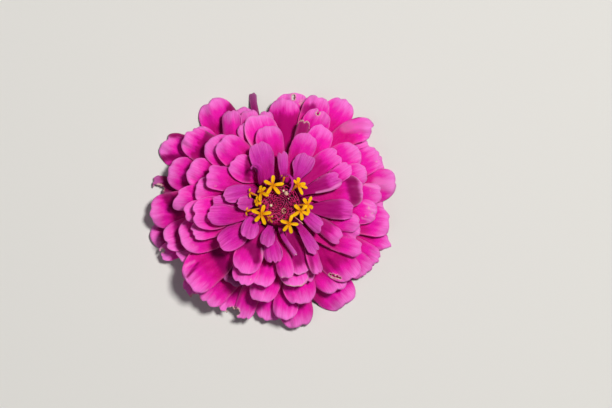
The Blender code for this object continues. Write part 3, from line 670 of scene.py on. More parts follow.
def bite(bm, x, y, r):
    """Removes a round bite, drawing the nearest vertices onto its edge first."""
    gone = []
    for v in bm.verts:
        dx, dy = v.co.x - x, v.co.y - y
        d = math.hypot(dx, dy)
        a = math.atan2(dy, dx)
        edge = r * (1 + 0.16 * math.sin(3 * a + x) + 0.10 * math.sin(7 * a + y))
        if d < edge - 0.22:
            gone.append(v)
        elif d < edge + 0.16 and d > 1e-6:
            v.co.x += dx / d * (edge - d)
            v.co.y += dy / d * (edge - d)
    bmesh.ops.delete(bm, geom=gone, context="VERTS")


# ---------------------------------------------------------------- materials
def new_material(name, rough=0.6, sheen=0.0, subsurface=0.0, radius=(1, 1, 1), scale=0.001,
                 specular=0.5, tint=(1, 1, 1)):
    m = bpy.data.materials.new(name)
    m.use_nodes = True
    t = m.node_tree
    s = t.nodes["Principled BSDF"]
    s.inputs["Roughness"].default_value = rough
    s.inputs["Specular IOR Level"].default_value = specular
    s.inputs["Specular Tint"].default_value = (*tint, 1)
    s.inputs["Sheen Weight"].default_value = sheen
    s.inputs["Sheen Roughness"].default_value = 0.4
    s.inputs["Subsurface Weight"].default_value = subsurface
    s.inputs["Subsurface Radius"].default_value = radius
    s.inputs["Subsurface Scale"].default_value = scale
    return m, t, s


def node(t, kind, **values):
    n = t.nodes.new(kind)
    for k, v in values.items():
        if hasattr(n, k):
            setattr(n, k, v)
        else:
            n.inputs[k].default_value = v
    return n


def mix(t, factor, a, b):
    """A colour mix; factor, a and b are sockets, numbers or colours."""
    n = t.nodes.new("ShaderNodeMix")
    n.data_type = "RGBA"
    for slot, value in ((0, factor), (6, a), (7, b)):
        if isinstance(value, bpy.types.NodeSocket):
            t.links.new(value, n.inputs[slot])
        elif isinstance(value, (int, float)):
            n.inputs[slot].default_value = value
        else:
            n.inputs[slot].default_value = (*value[:3], 1)
    return n.outputs[2]


def ramp(t, value, stops):
    n = t.nodes.new("ShaderNodeMapRange")
    n.interpolation_type = "SMOOTHSTEP"
    t.links.new(value, n.inputs["Value"])
    for k, v in zip(("From Min", "From Max", "To Min", "To Max"), stops):
        n.inputs[k].default_value = v
    return n.outputs["Result"]


def math_node(t, op, a, b=0.5):
    n = t.nodes.new("ShaderNodeMath")
    n.operation = op
    for k, v in enumerate((a, b)):
        if isinstance(v, bpy.types.NodeSocket):
            t.links.new(v, n.inputs[k])
        else:
            n.inputs[k].default_value = v
    return n.outputs[0]


# Petal colours by whorl, base to tip: the petal's own deeper base and paler tip, made stronger as painted shade at the
# bases and a painted highlight at the tips.
PINKS = {   # whorl: base, middle, tip
    1: ((0.62, 0.0006, 0.20), (0.86, 0.007, 0.42), (0.95, 0.200, 0.70)),
    2: ((0.62, 0.0006, 0.20), (0.86, 0.007, 0.42), (0.95, 0.200, 0.70)),
    3: ((0.60, 0.0006, 0.20), (0.85, 0.006, 0.41), (0.95, 0.185, 0.69)),
    4: ((0.58, 0.0006, 0.19), (0.84, 0.006, 0.41), (0.94, 0.172, 0.68)),
    5: ((0.56, 0.0006, 0.19), (0.81, 0.006, 0.40), (0.93, 0.148, 0.65)),
    6: ((0.50, 0.0010, 0.19), (0.70, 0.012, 0.40), (0.84, 0.100, 0.58)),
    7: ((0.45, 0.0030, 0.20), (0.62, 0.028, 0.41), (0.76, 0.110, 0.55)),
}


def petal_material(p, under=False):
    name = "petal_" + WHORL_NAMES[p.whorl] + "_" + p.letter + ("_under" if under else "")
    m, t, s = new_material(name, 0.55, 0.0, 0.10, (1.0, 0.15, 0.5), 0.0012, 0.16,
                           (1.0, 0.30, 0.80))
    d = np.random.default_rng(p.seed + 7)
    base, middle, tip = (np.array(c) for c in PINKS[p.whorl])
    # A little random spread in each petal's own colour, times a listed factor that is painted shade on petals lying in
    # shadow and painted light on a few shadowed ones.
    tone = p.opt.get("tone", 1.0) * d.uniform(0.93, 1.05)
    lilac = p.opt.get("lilac", 0.0)
    shift = np.array([1 - 0.25 * lilac, 1 + 0.9 * lilac, 1 - 0.05 * lilac])
    base, middle, tip = (np.clip(c * tone * shift, 0, 0.97) for c in (base, middle, tip))
    if under:
        base, middle, tip = (np.clip(c * 0.86 + np.array([0.02, 0.075, 0.075]), 0, 0.95)
                             for c in (base, middle, tip))
    uv = node(t, "ShaderNodeUVMap", uv_map="petal")
    split = node(t, "ShaderNodeSeparateXYZ")
    t.links.new(uv.outputs[0], split.inputs[0])
    length = p.run * 1.15 / 24.0
    along = split.outputs["Y"]
    left = math_node(t, "MULTIPLY_ADD", along, -24.0)     # millimetres to the tip
    left.node.inputs[2].default_value = p.run * 1.15
    # Fine veins: noise drawn out along the petal.
    stretch = node(t, "ShaderNodeMapping")
    stretch.inputs["Scale"].default_value = (70.0, 3.5, 1.0)
    stretch.inputs["Location"].default_value = (p.seed * 1.7, 0, 0)
    t.links.new(uv.outputs[0], stretch.inputs["Vector"])
    veins = node(t, "ShaderNodeTexNoise", Scale=1.0, Detail=3.0, Roughness=0.6)
    veins.noise_dimensions = "2D"
    t.links.new(stretch.outputs[0], veins.inputs["Vector"])
    blotch = node(t, "ShaderNodeMapping")
    blotch.inputs["Scale"].default_value = (9.0, 5.0, 1.0)
    blotch.inputs["Location"].default_value = (p.seed * 0.37, p.seed * 0.11, 0)
    t.links.new(uv.outputs[0], blotch.inputs["Vector"])
    cloud = node(t, "ShaderNodeTexNoise", Scale=1.0, Detail=4.0, Roughness=0.55)
    cloud.noise_dimensions = "2D"
    t.links.new(blotch.outputs[0], cloud.inputs["Vector"])
    fine = node(t, "ShaderNodeTexNoise", Scale=260.0, Detail=2.0)
    fine.noise_dimensions = "2D"
    t.links.new(uv.outputs[0], fine.inputs["Vector"])

    wander = math_node(t, "MULTIPLY_ADD", cloud.outputs[0], 4.0)
    wander.node.inputs[2].default_value = -2.0
    place = math_node(t, "ADD", left, wander)
    # Darker towards the base, paler at the tip: partly the petal's own colour, partly painted shade where the petals
    # above cover it and a painted highlight at the tip.
    colour = mix(t, ramp(t, place, (4.2, 8.5, 1, 0)), base, middle)
    colour = mix(t, ramp(t, place, (0.4, 4.6, 1, 0)), colour, tip)
    vein_mask = ramp(t, veins.outputs[0], (0.40, 0.62, 0.0, 0.55 if p.whorl > 5 else 0.30))
    if p.whorl > 5:                 # broader dark folds along the small inner petals
        broad = node(t, "ShaderNodeMapping")
        broad.inputs["Scale"].default_value = (26.0, 2.2, 1.0)
        broad.inputs["Location"].default_value = (p.seed * 0.7, 0, 0)
        t.links.new(uv.outputs[0], broad.inputs["Vector"])
        folds = node(t, "ShaderNodeTexNoise", Scale=1.0, Detail=2.0, Roughness=0.5)
        folds.noise_dimensions = "2D"
        t.links.new(broad.outputs[0], folds.inputs["Vector"])
        colour = mix(t, ramp(t, folds.outputs[0], (0.48, 0.68, 0.0, 0.48)), colour,
                     base * np.array([0.9, 1.0, 0.95]))
    colour = mix(t, vein_mask, colour, middle * np.array([0.85, 0.45, 0.80]))
    speck = ramp(t, fine.outputs[0], (0.66, 0.74, 0.0, 0.28))
    colour = mix(t, speck, colour, (0.97, 0.45, 0.78))
    shade = node(t, "ShaderNodeAttribute", attribute_name="shade").outputs["Fac"]
    # Painted shade: darkens the petal from so many millimetres behind the tip, where the petals above shade it.
    if "deep" in p.opt:             # darker from so many millimetres behind the tip
        begin, amount, soft = (*p.opt["deep"], 2.6)[:3]
        colour = mix(t, ramp(t, place, (begin, begin + soft, 0.0, amount)), colour,
                     base * np.array([0.66, 1.0, 0.70]))
    uneven = math_node(t, "MULTIPLY_ADD", cloud.outputs[0], 0.7)
    uneven.node.inputs[2].default_value = -0.35
    # Painted shadow: soft strokes darken the colour towards a deep magenta where folds and the petals above cast shade;
    # a per-petal amount sets how far.
    if "dusk" in p.opt:
        dusk = node(t, "ShaderNodeAttribute", attribute_name="dusk").outputs["Fac"]
        colour = mix(t, ramp(t, math_node(t, "ADD", dusk, uneven), (0.0, 1.0, 0.0, p.opt.get("dark", 0.80))),
                     colour, base * np.array([0.46, 1.0, 0.52]))
    # Painted light: soft strokes lighten the colour towards pale pink along edges and folds that catch the light.
    if "light" in p.opt:
        colour = mix(t, ramp(t, math_node(t, "ADD", shade, uneven),
                             (0.1, 1.1, 0.0, p.opt.get("glow", 0.62))),
                     colour, (0.96, 0.34, 0.76))
    # Painted highlight: paler pink along the petal's edges.
    rim = node(t, "ShaderNodeAttribute", attribute_name="rim")
    colour = mix(t, math_node(t, "MULTIPLY", rim.outputs["Fac"], p.opt.get("rim", 0.15)),
                 colour, (0.97, 0.40, 0.76))
    hurt = node(t, "ShaderNodeAttribute", attribute_name="hurt")
    pale = mix(t, ramp(t, fine.outputs[0], (0.35, 0.62, 0, 1)), (0.90, 0.62, 0.70),
               (0.60, 0.42, 0.22))
    torn = node(t, "ShaderNodeTexNoise", Scale=75.0, Detail=4.0, Roughness=0.65)
    torn.noise_dimensions = "2D"
    t.links.new(uv.outputs[0], torn.inputs["Vector"])
    ragged = math_node(t, "ADD", hurt.outputs["Fac"],
                       math_node(t, "MULTIPLY", math_node(t, "SUBTRACT", torn.outputs[0], 0.5),
                                 2.2))
    ragged = math_node(t, "MULTIPLY", ragged, ramp(t, hurt.outputs["Fac"], (0.05, 0.3, 0, 1)))
    colour = mix(t, ramp(t, ragged, (0.40, 0.80, 0.0, 0.92)), colour, pale)
    t.links.new(colour, s.inputs["Base Color"])
    rough = ramp(t, cloud.outputs[0], (0.2, 0.8, 0.50, 0.66))
    t.links.new(rough, s.inputs["Roughness"])
    height = math_node(t, "ADD", math_node(t, "MULTIPLY", veins.outputs[0], 0.8),
                       math_node(t, "MULTIPLY", fine.outputs[0], 0.25))
    bump = node(t, "ShaderNodeBump", Strength=0.45, Distance=0.00012)
    t.links.new(height, bump.inputs["Height"])
    t.links.new(bump.outputs[0], s.inputs["Normal"])
    return m


# ---------------------------------------------------------------- disc, bracts and stem
FLAT_Z = 21.5
# Disc florets: x and y of the limb's centre, height, tilt outwards, and one
# (direction, length) for each lobe as seen from above, lengths in mm.
STARS = [
    (0.3, 24.6, 24.6, 10, [(86, 2.5), (152, 2.35), (8, 2.75), (-50, 2.75), (-122, 2.6)]),
    (-10.8, -4.1, 24.7, 10, [(72, 2.35), (158, 2.6), (10, 2.45), (-70, 2.7), (-130, 2.4)]),
    (16.7, -13.5, 24.8, 10, [(160, 2.2), (70, 2.3), (-5, 2.3), (-76, 2.5), (-128, 2.3)]),
    (28.3, -0.5, 24.9, 8, [(138, 2.05), (38, 2.0), (-28, 2.2), (-82, 2.4), (-146, 2.5)]),
    (24.8, 25.0, 24.5, 34, [(78, 2.2), (-18, 2.7), (-62, 2.8), (128, 1.5), (8, 2.3)]),
    (-11.0, 17.5, 24.2, 40, [(95, 1.9), (52, 1.6), (-98, 2.2), (-25, 2.5), (150, 1.2)]),
    (34.5, 5.0, 24.0, 30, [(62, 2.4), (-28, 1.9), (118, 1.9), (-80, 2.2), (-150, 1.2)]),
    (-14.0, 8.5, 23.7, 34, [(-40, 1.0), (175, 1.2), (95, 1.3), (-110, 1.2), (35, 1.0)]),
]
# Withered or half hidden disc florets: the same, with thinner and fewer lobes.
SPENT = [
    (-3.0, -7.5, 23.9, 20, [(25, 1.0), (-60, 1.5), (150, 0.7), (-110, 1.1)]),
    (12.0, 33.8, 24.3, 20, [(170, 0.8), (5, 1.0)]),
    (-22.5, 17.5, 23.2, 30, [(88, 1.1), (-85, 1.3)]),
    (-25.8, -1.0, 22.6, 30, [(80, 0.9), (-88, 1.2)]),
]


def shell(bm, points, across, along, wall, slot=0, uv=None, flip=False):
    """Adds a closed thin sheet on a grid of points, rows of across + 1, with even walls."""
    p = np.asarray(points, float).reshape(along + 1, across + 1, 3)
    du, dv = np.gradient(p, axis=1), np.gradient(p, axis=0)
    n = np.cross(du, dv)
    n /= np.maximum(np.linalg.norm(n, axis=2, keepdims=True), 1e-9)
    if flip:
        n = -n
    wall = np.asarray(wall, float)
    if wall.ndim == 2:
        wall = wall[:, :, None]
    top = [[bm.verts.new(q) for q in row] for row in p + n * wall / 2]
    low = [[bm.verts.new(q) for q in row] for row in p - n * wall / 2]
    layer = bm.loops.layers.uv.verify()
    place = {}
    for j in range(along + 1):
        for i in range(across + 1):
            place[top[j][i]] = place[low[j][i]] = (i / across, j / along)
    faces = []
    for j in range(along):
        for i in range(across):
            faces.append((top[j][i], top[j][i + 1], top[j + 1][i + 1], top[j + 1][i]))
            faces.append((low[j][i], low[j + 1][i], low[j + 1][i + 1], low[j][i + 1]))
    for j in range(along):
        faces.append((top[j][0], top[j + 1][0], low[j + 1][0], low[j][0]))
        faces.append((top[j][-1], low[j][-1], low[j + 1][-1], top[j + 1][-1]))
    for i in range(across):
        faces.append((top[0][i], low[0][i], low[0][i + 1], top[0][i + 1]))
        faces.append((top[-1][i], top[-1][i + 1], low[-1][i + 1], low[-1][i]))
    for f in faces:
        if flip:
            f = f[::-1]
        face = bm.faces.new(f)
        face.smooth, face.material_index = True, slot
        for loop in face.loops:
            loop[layer].uv = place[loop.vert]
    return top, low


def tube(bm, path, radii, sides=10, slot=0):
    """Adds a closed tube along a path, with a radius at each point."""
    path = np.asarray(path, float)
    t = np.gradient(path, axis=0)
    t /= np.linalg.norm(t, axis=1)[:, None]
    side = np.cross(t[0], (0.31, 0.95, 0.05))
    layer = bm.loops.layers.uv.verify()
    rings = []
    for k, (p, d, r) in enumerate(zip(path, t, radii)):
        side = side - d * (side @ d)
        side /= np.linalg.norm(side)
        up = np.cross(d, side)
        a = 2 * math.pi * np.arange(sides) / sides
        rings.append([bm.verts.new(p + r * (math.cos(b) * side + math.sin(b) * up)) for b in a])
    for k in range(len(rings) - 1):
        for i in range(sides):
            j = (i + 1) % sides
            f = bm.faces.new((rings[k][i], rings[k][j], rings[k + 1][j], rings[k + 1][i]))
            f.smooth, f.material_index = True, slot
            for loop, uv in zip(f.loops, ((i, k), (i + 1, k), (i + 1, k + 1), (i, k + 1))):
                loop[layer].uv = (uv[0] / sides, uv[1] / (len(rings) - 1))
    for ring, order in ((rings[0], -1), (rings[-1], 1)):
        f = bm.faces.new(ring[::order])
        f.material_index = slot
        for loop in f.loops:
            loop[layer].uv = (0.5, 0.0 if order < 0 else 1.0)


def object_from(bm, name, materials):
    bmesh.ops.scale(bm, vec=(MM, MM, MM), verts=bm.verts)
    mesh = bpy.data.meshes.new(name)
    bm.to_mesh(mesh)
    bm.free()
    ob = bpy.data.objects.new(name, mesh)
    for m in materials:
        mesh.materials.append(m)
    link(ob)
    return ob


def curve(a, b, c, n):
    t = np.linspace(0, 1, n)[:, None]
    a, b, c = (np.asarray(x, float) for x in (a, b, c))
    return (1 - t) ** 2 * a + 2 * t * (1 - t) * b + t * t * c


def star_floret(name, row, looks, spent=False):
    x, y, z, tilt, lobes = row
    d = np.random.default_rng(int(x * 7 + y * 13) % 1000)
    centre = np.array([x * UNIT, y * UNIT, z])
    out = np.append(centre[:2] - axis_at(z), 0.0)
    reach = np.linalg.norm(out)
    out /= reach
    lean = math.radians(tilt)
    normal = np.array([0, 0, 1.0]) * math.cos(lean) + out * math.sin(lean)
    foot = axis_at(FLAT_Z) + out[:2] * min(reach, 4.35)
    foot = np.array([foot[0], foot[1], FLAT_Z - 0.2])
    bm = bmesh.new()
    neck = centre - normal * 0.25
    path = curve(foot, (foot[0] * 0.6 + neck[0] * 0.4, foot[1] * 0.6 + neck[1] * 0.4,
                        neck[2] - 0.6), neck, 9)
    wide = [0.20, 0.22, 0.24, 0.26, 0.28, 0.32, 0.38, 0.44, 0.50]
    if spent:
        wide = [w * 0.7 for w in wide]
    tube(bm, path, wide, 12, 1)
    for way, length in lobes:
        a = math.radians(way)
        flat = np.array([math.cos(a), math.sin(a), 0.0])
        # The lobe's own direction lies in the limb's plane, over the given plan direction.
        flat[2] = -(flat[0] * normal[0] + flat[1] * normal[1]) / normal[2]
        flat /= np.linalg.norm(flat)
        side = np.cross(normal, flat)
        width = (0.47 if not spent else 0.22) * d.uniform(0.92, 1.06)
        droop = d.uniform(0.10, 0.45) + (0.4 if spent else 0)
        twist = d.uniform(-0.25, 0.25)
        pts, wall = [], []
        for j in range(11):
            s = j / 10
            w = width * (0.42 + 0.58 * math.sin(min(1.0, s / 0.62) * math.pi / 2))
            w *= math.sqrt(max(0.02, 1 - max(0.0, (s - 0.70) / 0.30) ** 2.2))
            for i in range(7):
                u = 2 * i / 6 - 1
                up = 0.10 * math.sin(s * 3.0) - droop * s * s * 0.5
                up += 0.16 * abs(u) ** 1.6 * (1 - 0.5 * s) * width / 0.47 + twist * u * w * s
                pts.append(centre + flat * (0.16 + s * (1.1 * length - 0.16)) + side * w * u
                           + normal * up)
        shell(bm, pts, 6, 10, 0.11, 0)
    if not spent:
        # Joined anthers in the throat, with the two branches of the style above them.
        top = centre + normal * 0.42
        tube(bm, curve(neck, centre, top, 6), [0.20, 0.22, 0.23, 0.22, 0.19, 0.10], 10, 2)
        way = d.uniform(0, math.pi)
        for k in (0, 1):
            a = way + math.pi * k
            out2 = np.array([math.cos(a), math.sin(a), 0.0])
            tip = top + out2 * 0.42 + normal * 0.02
            tube(bm, curve(top - normal * 0.1, top + normal * 0.35 + out2 * 0.15, tip, 7),
                 [0.06, 0.06, 0.06, 0.055, 0.05, 0.045, 0.03], 6, 0)
    return object_from(bm, name, looks)


def scales_of_the_disc(look):
    """Erect crimson scales between the disc florets, each a small trough with a fringed tip."""
    d = np.random.default_rng(12)
    bm = bmesh.new()
    feet = [(s[0] * UNIT, s[1] * UNIT) for s in STARS]
    count = 168
    for k in range(count):
        r = 5.15 * math.sqrt((k + 0.4) / count)
        a = k * 2.39996 + d.uniform(-0.12, 0.12)
        out = np.array([math.cos(a), math.sin(a), 0.0])
        side = np.array([-out[1], out[0], 0.0])
        height = 1.95 + 0.55 * (1 - (r / 4.95) ** 2) + d.uniform(-0.22, 0.22)
        lean = -0.10 * r + d.uniform(-0.10, 0.10)
        foot = np.append(axis_at(FLAT_Z), FLAT_Z - 0.25) + out * r
        half = 0.37 * d.uniform(0.85, 1.1)
        pts = []
        for j in range(8):
            s = j / 7
            centre = foot + np.array([0, 0, 1.0]) * height * s + out * lean * s * s
            centre = centre + np.append(np.array(LEAN) * height * s, 0)
            for i in range(9):
                u = 2 * i / 8 - 1
                w = half * (0.75 + 0.25 * s)
                p = centre + side * w * math.sin(u * 1.15) / 0.91 - out * w * (1 - math.cos(u * 1.15))
                if j == 7:
                    p = p + np.array([0, 0, 1.0]) * (0.30 if i % 2 else -0.10) * (1 - 0.5 * u * u)
                    p = p - out * (0.12 if i % 2 else 0.0)
                pts.append(p)
        shell(bm, pts, 8, 7, 0.075, 0)
    for k in range(46):             # a collar of taller scales round the edge of the disc
        a = 2 * math.pi * k / 46 + d.uniform(-0.03, 0.03)
        out = np.array([math.cos(a), math.sin(a), 0.0])
        side = np.array([-out[1], out[0], 0.0])
        foot = np.append(axis_at(20.4), 20.3) + out * (5.34 + 0.12 * (k % 2))
        height = d.uniform(2.2, 2.9)
        pts = []
        for j in range(8):
            s = j / 7
            centre = foot + np.array([0, 0, 1.0]) * height * s - out * 0.35 * s * s
            centre = centre + np.append(np.array(LEAN) * height * s, 0)
            for i in range(7):
                u = 2 * i / 6 - 1
                w = 0.46 * (0.85 + 0.15 * s)
                p = centre + side * w * u - out * w * 0.4 * u * u
                if j == 7:
                    p = p + np.array([0, 0, 1.0]) * (0.25 if i % 2 else -0.10)
                pts.append(p)
        shell(bm, pts, 6, 7, 0.075, 0)
    return object_from(bm, "disc_scales", [look])


def buds(looks):
    """Unopened disc florets and a curled style among the scales."""
    cream, pink = looks
    made = []
    for k, (x, y, z, r, tall, m) in enumerate([
            (14.0, 16.5, 24.2, 0.62, 1.5, pink), (-1.3, 4.5, 24.0, 0.40, 1.2, cream),
            (16.0, 11.2, 24.1, 0.17, 0.8, cream), (11.0, 19.0, 24.0, 0.34, 1.0, cream)]):
        bm = bmesh.new()
        foot = np.array([x * UNIT, y * UNIT, z - tall - 0.4])
        pts, rad = [], []
        for j in range(11):
            s = j / 10
            pts.append(foot + np.array([0.03 * s, 0.02 * s, (tall + 0.4) * s]))
            rad.append(r * (0.55 + 0.45 * math.sin(min(1, s * 1.4) * 1.57))
                       * math.sqrt(max(0.03, 1 - max(0, (s - 0.72) / 0.28) ** 2)))
        tube(bm, pts, rad, 20, 0)
        for v in bm.verts:      # five furrows where the folded lobes meet
            a = math.atan2(v.co.y - foot[1], v.co.x - foot[0])
            f = 1 - 0.13 * (0.5 + 0.5 * math.cos(5 * a)) ** 3
            v.co.x = foot[0] + (v.co.x - foot[0]) * f
            v.co.y = foot[1] + (v.co.y - foot[1]) * f
        made.append(object_from(bm, "disc_bud_%d" % (k + 1), [m]))
    bm = bmesh.new()
    a = np.radians(np.linspace(-60, 235, 16))
    c = np.array([11.6, -0.8]) * UNIT
    ring = [np.array([c[0] - 0.50 * math.sin(t), c[1] - 0.62 * math.cos(t), 24.3 + 0.1 * math.sin(2 * t)])
            for t in a]
    ring = [np.array([c[0] - 0.45, c[1] + 0.3, 22.8])] + ring
    tube(bm, ring, [0.14] * 12 + [0.13, 0.12, 0.11, 0.09, 0.06], 8, 0)
    made.append(object_from(bm, "disc_style_curled", [pink]))
    return made


def cup_point(offset, theta):
    return ((CUP_A + offset) * math.cos(theta), CUP_Z - (CUP_B + offset) * math.sin(theta))


def bracts(look):
    rows = {"outer": (2.35, 69, 22, 9, 10, 0.0), "middle": (1.48, 70, 6, 10, 9, 0.3),
            "inner": (0.62, 69, -6, 11, 8, 0.1)}
    for row, (offset, low, high, count, deep, turn) in rows.items():
        for k in range(count):
            d = np.random.default_rng(count * 40 + k)
            middle = 2 * math.pi * (k + 0.5) / count + turn
            half = math.pi / count * d.uniform(1.18, 1.28)
            top = math.radians(high + d.uniform(-2.0, 2.5))
            bm = bmesh.new()
            pts, wall = [], []
            n, m = 16, 16
            for j in range(m + 1):
                v = j / m
                for i in range(n + 1):
                    u = math.sin((2 * i / n - 1) * math.pi / 2)
                    lobe = math.sqrt(max(0.0, 1 - abs(u) ** 2.4))
                    end = top + math.radians(deep) * 1.6 * (1 - lobe)
                    end += math.radians(0.5) * math.sin(u * 23 + k) * (1 - u * u)
                    theta = math.radians(low) + (end - math.radians(low)) * v
                    swell = 0.15 * math.sin(v * math.pi) * (1 - u * u)
                    off = offset + 0.15 * u + swell + 0.22 * v ** 6 + 0.03 * math.cos(u * 12) * (1 - v)
                    r, z = cup_point(off, theta)
                    a = middle + half * u * (0.72 + 0.28 * ease(v / 0.5))
                    c = axis_at(z)
                    pts.append((c[0] + r * math.cos(a), c[1] + r * math.sin(a), z))
                    edge = min(1 - abs(u), (1 - v) * 2.2)
                    wall.append(0.07 + 0.17 * ease(edge / 0.25))
            shell(bm, pts, n, m, np.array(wall).reshape(m + 1, n + 1), 0, flip=True)
            ob = object_from(bm, "bract_%s_%02d" % (row, k + 1), [look])
            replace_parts(ob, "involucre_" + row)


def stem_piece(looks):
    """A ribbed stem, hollow where it is cut, with short stiff hairs."""
    skin, cut = looks
    high = 3.9
    bm = bmesh.new()
    steps, rings = 54, 14
    layer = bm.loops.layers.uv.verify()
    rows = []
    for j in range(rings + 1):
        z = high * j / rings
        row = []
        for i in range(steps):
            a = 2 * math.pi * i / steps
            r = 1.98 + 0.10 * (z / high) ** 2 + 0.09 * math.cos(9 * a) + 0.03 * math.cos(20 * a + z)
            c = axis_at(min(z, 3.25))
            row.append(bm.verts.new((c[0] + r * math.cos(a), c[1] + r * math.sin(a), z)))
        rows.append(row)
    for j in range(rings):
        for i in range(steps):
            k = (i + 1) % steps
            f = bm.faces.new((rows[j][i], rows[j][k], rows[j + 1][k], rows[j + 1][i]))
            f.smooth = True
            for loop, uv in zip(f.loops, ((i, j), (i + 1, j), (i + 1, j + 1), (i, j + 1))):
                loop[layer].uv = (uv[0] / steps, uv[1] / rings)
    f = bm.faces.new(rows[-1])
    # The cut face: a pale wall round a small hollow.
    ring = rows[0]
    c = axis_at(0.0)
    for r, z in ((1.55, 0.02), (1.05, 0.08), (0.75, 0.55), (0.45, 0.75)):
        new = [bm.verts.new((c[0] + r * (1 + 0.03 * math.sin(5 * t)) * math.cos(t),
                             c[1] + r * (1 + 0.03 * math.sin(5 * t)) * math.sin(t), z))
               for t in (2 * math.pi * np.arange(steps) / steps)]
        for i in range(steps):
            k = (i + 1) % steps
            f = bm.faces.new((ring[k], ring[i], new[i], new[k]))
            f.material_index, f.smooth = 1, True
        ring = new
    f = bm.faces.new(ring[::-1])
    f.material_index = 1
    d = np.random.default_rng(5)
    for _ in range(150):
        a, z = d.uniform(0, 2 * math.pi), d.uniform(0.45, 3.0)
        c = axis_at(z)
        out = np.array([math.cos(a), math.sin(a), 0.0])
        p = np.array([c[0], c[1], z]) + out * 1.95
        tip = p + out * d.uniform(0.45, 0.9) + np.array([0, 0, d.uniform(-0.35, 0.1)])
        tube(bm, curve(p, (p + tip) / 2 + np.array([0, 0, 0.06]), tip, 4),
             [0.045, 0.035, 0.022, 0.006], 5, 0)
    bmesh.ops.recalc_face_normals(bm, faces=bm.faces)
    ob = object_from(bm, "stem_cut", [skin, cut])
    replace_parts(ob, "stem")
    return ob


# ---------------------------------------------------------------- their materials
def disc_material(name, low, mid, high, rough=0.5):
    m, t, s = new_material(name, rough, 0.0, 0.12, (1.0, 0.5, 0.1), 0.0006, 0.20,
                           (1.0, 0.85, 0.4))
    uv = node(t, "ShaderNodeUVMap")
    split = node(t, "ShaderNodeSeparateXYZ")
    t.links.new(uv.outputs[0], split.inputs[0])
    place = node(t, "ShaderNodeTexCoord")
    n = node(t, "ShaderNodeTexNoise", Scale=900.0, Detail=3.0)
    t.links.new(place.outputs["Object"], n.inputs["Vector"])
    along = math_node(t, "ADD", split.outputs["Y"],
                      math_node(t, "MULTIPLY", math_node(t, "SUBTRACT", n.outputs[0], 0.5), 0.3))
    c = mix(t, ramp(t, along, (0.02, 0.45, 0, 1)), low, mid)
    c = mix(t, ramp(t, along, (0.5, 1.0, 0, 1)), c, high)
    edge = math_node(t, "ABSOLUTE", math_node(t, "SUBTRACT", split.outputs["X"], 0.5))
    c = mix(t, ramp(t, edge, (0.30, 0.5, 0, 0.35)), c, tuple(0.8 * v for v in mid))
    t.links.new(c, s.inputs["Base Color"])
    b = node(t, "ShaderNodeBump", Strength=0.4, Distance=0.00006)
    t.links.new(n.outputs[0], b.inputs["Height"])
    t.links.new(b.outputs[0], s.inputs["Normal"])
    return m


def scale_material():
    m, t, s = new_material("disc_scales", 0.5, 0.0, 0.10, (1.0, 0.2, 0.3), 0.0006, 0.30)
    uv = node(t, "ShaderNodeUVMap")
    split = node(t, "ShaderNodeSeparateXYZ")
    t.links.new(uv.outputs[0], split.inputs[0])
    place = node(t, "ShaderNodeTexCoord")
    n = node(t, "ShaderNodeTexNoise", Scale=700.0, Detail=4.0)
    t.links.new(place.outputs["Object"], n.inputs["Vector"])
    c = mix(t, ramp(t, split.outputs["Y"], (0.35, 0.95, 0, 1)), (0.42, 0.002, 0.065),
            (0.70, 0.007, 0.170))
    # Lighter crimson patches by noise: a painted highlight on the scales.
    c = mix(t, ramp(t, n.outputs[0], (0.48, 0.72, 0.0, 0.55)), c, (0.78, 0.035, 0.24))
    tip = math_node(t, "MULTIPLY", ramp(t, split.outputs["Y"], (0.88, 1.0, 0, 1)),
                    ramp(t, n.outputs[0], (0.45, 0.60, 0.2, 1.0)))
    c = mix(t, math_node(t, "MULTIPLY", tip, 0.40), c, (0.80, 0.14, 0.36))
    t.links.new(c, s.inputs["Base Color"])
    return m


def bract_material():
    m, t, s = new_material("bract", 0.55, 0.0, 0.0, (1, 1, 1), 0.001, 0.35)
    uv = node(t, "ShaderNodeUVMap")
    split = node(t, "ShaderNodeSeparateXYZ")
    t.links.new(uv.outputs[0], split.inputs[0])
    place = node(t, "ShaderNodeTexCoord")
    stretch = node(t, "ShaderNodeMapping")
    stretch.inputs["Scale"].default_value = (26.0, 2.0, 1.0)
    t.links.new(uv.outputs[0], stretch.inputs["Vector"])
    veins = node(t, "ShaderNodeTexNoise", Scale=1.0, Detail=3.0)
    veins.noise_dimensions = "2D"
    t.links.new(stretch.outputs[0], veins.inputs["Vector"])
    n = node(t, "ShaderNodeTexNoise", Scale=420.0, Detail=4.0)
    t.links.new(place.outputs["Object"], n.inputs["Vector"])
    c = mix(t, veins.outputs[0], (0.030, 0.085, 0.012), (0.095, 0.190, 0.032))
    c = mix(t, ramp(t, split.outputs["Y"], (0.0, 0.5, 0.6, 0.0)), c, (0.13, 0.20, 0.055))
    edge = math_node(t, "ABSOLUTE", math_node(t, "SUBTRACT", split.outputs["X"], 0.5))
    away = math_node(t, "MAXIMUM", ramp(t, edge, (0.36, 0.47, 0, 1)),
                     ramp(t, split.outputs["Y"], (0.84, 0.95, 0, 1)))
    away = math_node(t, "MULTIPLY", away, ramp(t, split.outputs["Y"], (0.35, 0.65, 0, 1)))
    rag = math_node(t, "ADD", away, math_node(t, "MULTIPLY", math_node(
        t, "SUBTRACT", n.outputs[0], 0.5), 0.9))
    c = mix(t, ramp(t, rag, (0.35, 0.6, 0, 0.92)), c, (0.022, 0.010, 0.006))
    t.links.new(c, s.inputs["Base Color"])
    h = math_node(t, "ADD", math_node(t, "MULTIPLY", veins.outputs[0], 0.7),
                  math_node(t, "MULTIPLY", n.outputs[0], 0.4))
    b = node(t, "ShaderNodeBump", Strength=0.6, Distance=0.00015)
    t.links.new(h, b.inputs["Height"])
    t.links.new(b.outputs[0], s.inputs["Normal"])
    return m


